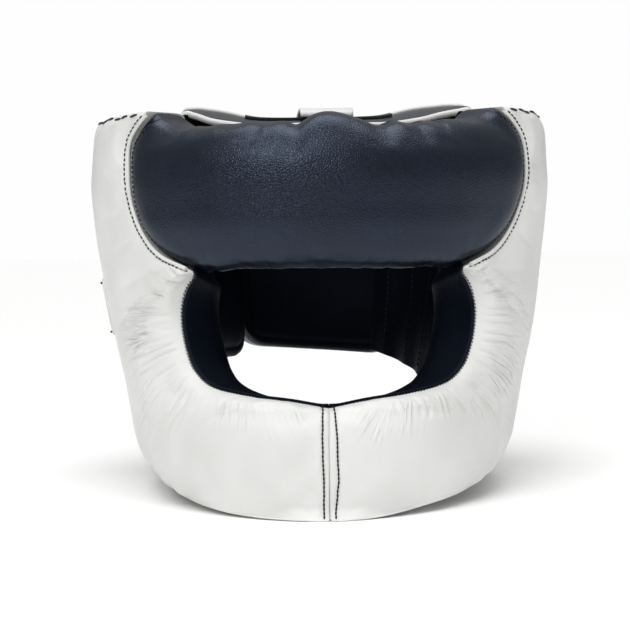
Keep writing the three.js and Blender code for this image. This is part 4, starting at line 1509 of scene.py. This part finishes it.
# %% Stitches on the sides and the forehead
SEWN = {
    "seam": {"pitch": 2.6, "length": 2.2, "radius": 0.42, "sink": 0.25},
    "whip": {"pitch": 1.8, "length": 1.5, "radius": 0.34, "tilt": 45},
    "rear": {"pitch": 4.0, "length": 3.0, "radius": 0.4},
    "top": {"pitch": 8.5, "length": 6.0, "radius": 0.65, "sink": 0.2},
    "bar": {"pitch": 2.1, "length": 2.5, "radius": 0.52, "sink": 0.2, "ahead": True},
    "brow": {"pitch": 2.6, "length": 2.2, "radius": 0.45, "sink": 0.2},
    "strap": {"pitch": 4.0, "length": 3.2, "radius": 0.7, "sink": 0.1},
    "gusset": {"pitch": 3.2, "length": 2.2, "radius": 0.4, "sink": 0.2},
}
WHIP_OFF = -0.5
REAR_IN = 2.5
TOP_SHARE = 0.007
TOP_TILT = -14
BROW_IN = 0.02
BAR_FOOT_X = 52.0
seam_rows = np.linspace(0.15, CORNER - 0.02, 160)
edge_rows = np.linspace(CORNER + 0.05, LAST - 0.03, 240)
rear_rows = np.linspace(0.2, BASE_ROW - 1.5, 120)
bar_share = np.linspace(0.004, 0.985, 80)
top_across = np.linspace(0.03, 0.97, 60)
brow_across = np.linspace(0.06, 0.97, 120)


def wrap_line(row, off):
    """Places on the side panel at a distance from the seam."""
    return shell(*wrap_place(row, off), wrap_depth(row, off))


for side, sign in (("left", -1), ("right", 1)):
    hand = np.array([sign, 1, 1])
    white = surface_of(side_pads[side])
    line = settle(wrap_line(seam_rows, 0 * seam_rows + SEAM_STITCH_OFF) * hand)
    lay_stitches(f"seam_stitches_{side}", white, line, **SEWN["seam"])
    line = settle(wrap_line(edge_rows, 0 * edge_rows + WHIP_OFF) * hand)
    lay_stitches(f"opening_whip_{side}", white, line, **SEWN["whip"])
    line = wrap_line(rear_rows, wrap_width(rear_rows) - REAR_IN) * hand
    lay_stitches(f"rear_stitches_{side}", white, line, **SEWN["rear"])
    line = wrap_outer(0 * top_across + TOP_SHARE, top_across) * hand
    lay_stitches(f"top_whip_{side}", white, line, tilt=TOP_TILT * sign, **SEWN["top"])
    stitch_z = BAR_STITCH_Z[0] * bar_share
    stitch_x = np.interp(stitch_z, BAR_STITCH_Z[::-1], BAR_STITCH_X[side][::-1])[::-1]
    bar_row = LAST - stitch_x / mix(SEAM_X[LAST - 1], BAR_FOOT_X, bar_share)
    line = settle(wrap_line(bar_row, bar_share * wrap_width(bar_row)) * hand)
    lay_stitches(f"bar_stitches_{side}", white, line, **SEWN["bar"])
    black = surface_of(brow)
    share = BROW_IN if side == "left" else 1 - BROW_IN
    line = settle(brow_face(False)(0 * brow_across + share, brow_across))
    lay_stitches(f"brow_stitches_{side}", black, line, **SEWN["brow"])

# %% [markdown]
# The closing strap is sewn along both long edges, and the gusset has a row on each rib. The same helper
# lays them, on lines of those pieces' own faces.

# %% Stitches on the strap and the gusset
STRAP_ROWS = {"low": 0.07, "high": 0.93}
GUSSET_ROWS = {"front": 0.17, "middle": 0.5, "back": 0.83}
strap = surface_of(back_strap)
strap_along = np.linspace(0.004, 0.98, 140)
for name, share in STRAP_ROWS.items():
    line = back_strap_face(STRAP_SEAT + LEATHER)(strap_along, 0 * strap_along + share)
    lay_stitches(f"strap_stitches_{name}", strap, line, **SEWN["strap"])
ribs = surface_of(gusset)
rib_across = np.linspace(0.03, 0.97, 90)
for name, share in GUSSET_ROWS.items():
    line = gusset_face(GUSSET_THICK)(0 * rib_across + share, rib_across)
    lay_stitches(f"gusset_stitches_{name}", ribs, line, **SEWN["gusset"])

# %% [markdown]
# ## Floor
# The photo is a cut-out on white. A large sheet of white paper under a white sky comes close to that, and
# still shows that the headgear stands on something. Its tone drifts by a hair, as paper does. The plain
# colour transform keeps white as white.

# %% Floor
FLOOR_HALF = 30.0
scene = bpy.context.scene
scene.view_settings.view_transform = "Standard"
floor_bm = bmesh.new()
bmesh.ops.create_grid(floor_bm, x_segments=2, y_segments=2, size=FLOOR_HALF)
floor = new_piece("floor", floor_bm)
paper, tree, shader, here = new_material("pale_paper_sweep")
cloudy(tree, shader, here, 120, 2.0, "#fefefd", "#ffffff")
shader.inputs["Roughness"].default_value = 0.9
floor.data.materials.append(paper)
print("made the floor of", paper.name)

# %% [markdown]
# ## Light
# Three lights do what a white tent and two lamps do in a studio. A sky that is brighter above than below
# lights it from all round. A lamp overhead, as wide as half the sky, gives a very soft shadow. One wide
# softbox in front, on the left, leaves the pale band on the forehead. To the camera the sky is white, and
# as a light it is dimmer, or it would wash the white leather out.

# %% Light
SKY_LOW = 0.13
SKY_HIGH = 0.7
SKY_SEEN = 0.99
world = bpy.data.worlds.new("studio")
world.use_nodes = True
scene.world = world
tree = world.node_tree
sky = tree.nodes["Background"]
way = add_node(tree, "ShaderNodeTexCoord")
parts = add_node(tree, "ShaderNodeSeparateXYZ", None, None, {"Vector": way.outputs["Generated"]})
tones = {"To Min": SKY_LOW, "To Max": SKY_HIGH}
dome = add_node(tree, "ShaderNodeMapRange", None, tones, {"Value": parts.outputs["Z"]})
path = add_node(tree, "ShaderNodeLightPath")
seen = {"Value": path.outputs["Is Camera Ray"], "To Min": dome.outputs["Result"]}
level = add_node(tree, "ShaderNodeMapRange", None, {"To Max": SKY_SEEN}, seen)
tree.links.new(level.outputs["Result"], sky.inputs["Strength"])
sky.inputs["Color"].default_value = (1.0, 1.0, 1.0, 1.0)

key = bpy.data.lights.new("key_light", "SUN")
key.energy = 1.66
key.angle = math.radians(50)
key_holder = bpy.data.objects.new("key_light", key)
key_holder.rotation_euler = Vector((0.02, 0.16, -1.0)).to_track_quat("-Z", "Y").to_euler()
scene.collection.objects.link(key_holder)
softbox = bpy.data.lights.new("softbox", "AREA")
softbox.shape = "RECTANGLE"
softbox.energy = 4.1
softbox.size = 0.62
softbox.size_y = 0.18
softbox_holder = bpy.data.objects.new("softbox", softbox)
softbox_holder.location = (-0.44, -1.12, 0.80)
softbox_aim = Vector((0.0, -0.1, 0.15)) - softbox_holder.location
softbox_holder.rotation_euler = softbox_aim.to_track_quat("-Z", "Y").to_euler()
scene.collection.objects.link(softbox_holder)
print("key light:", key.energy)
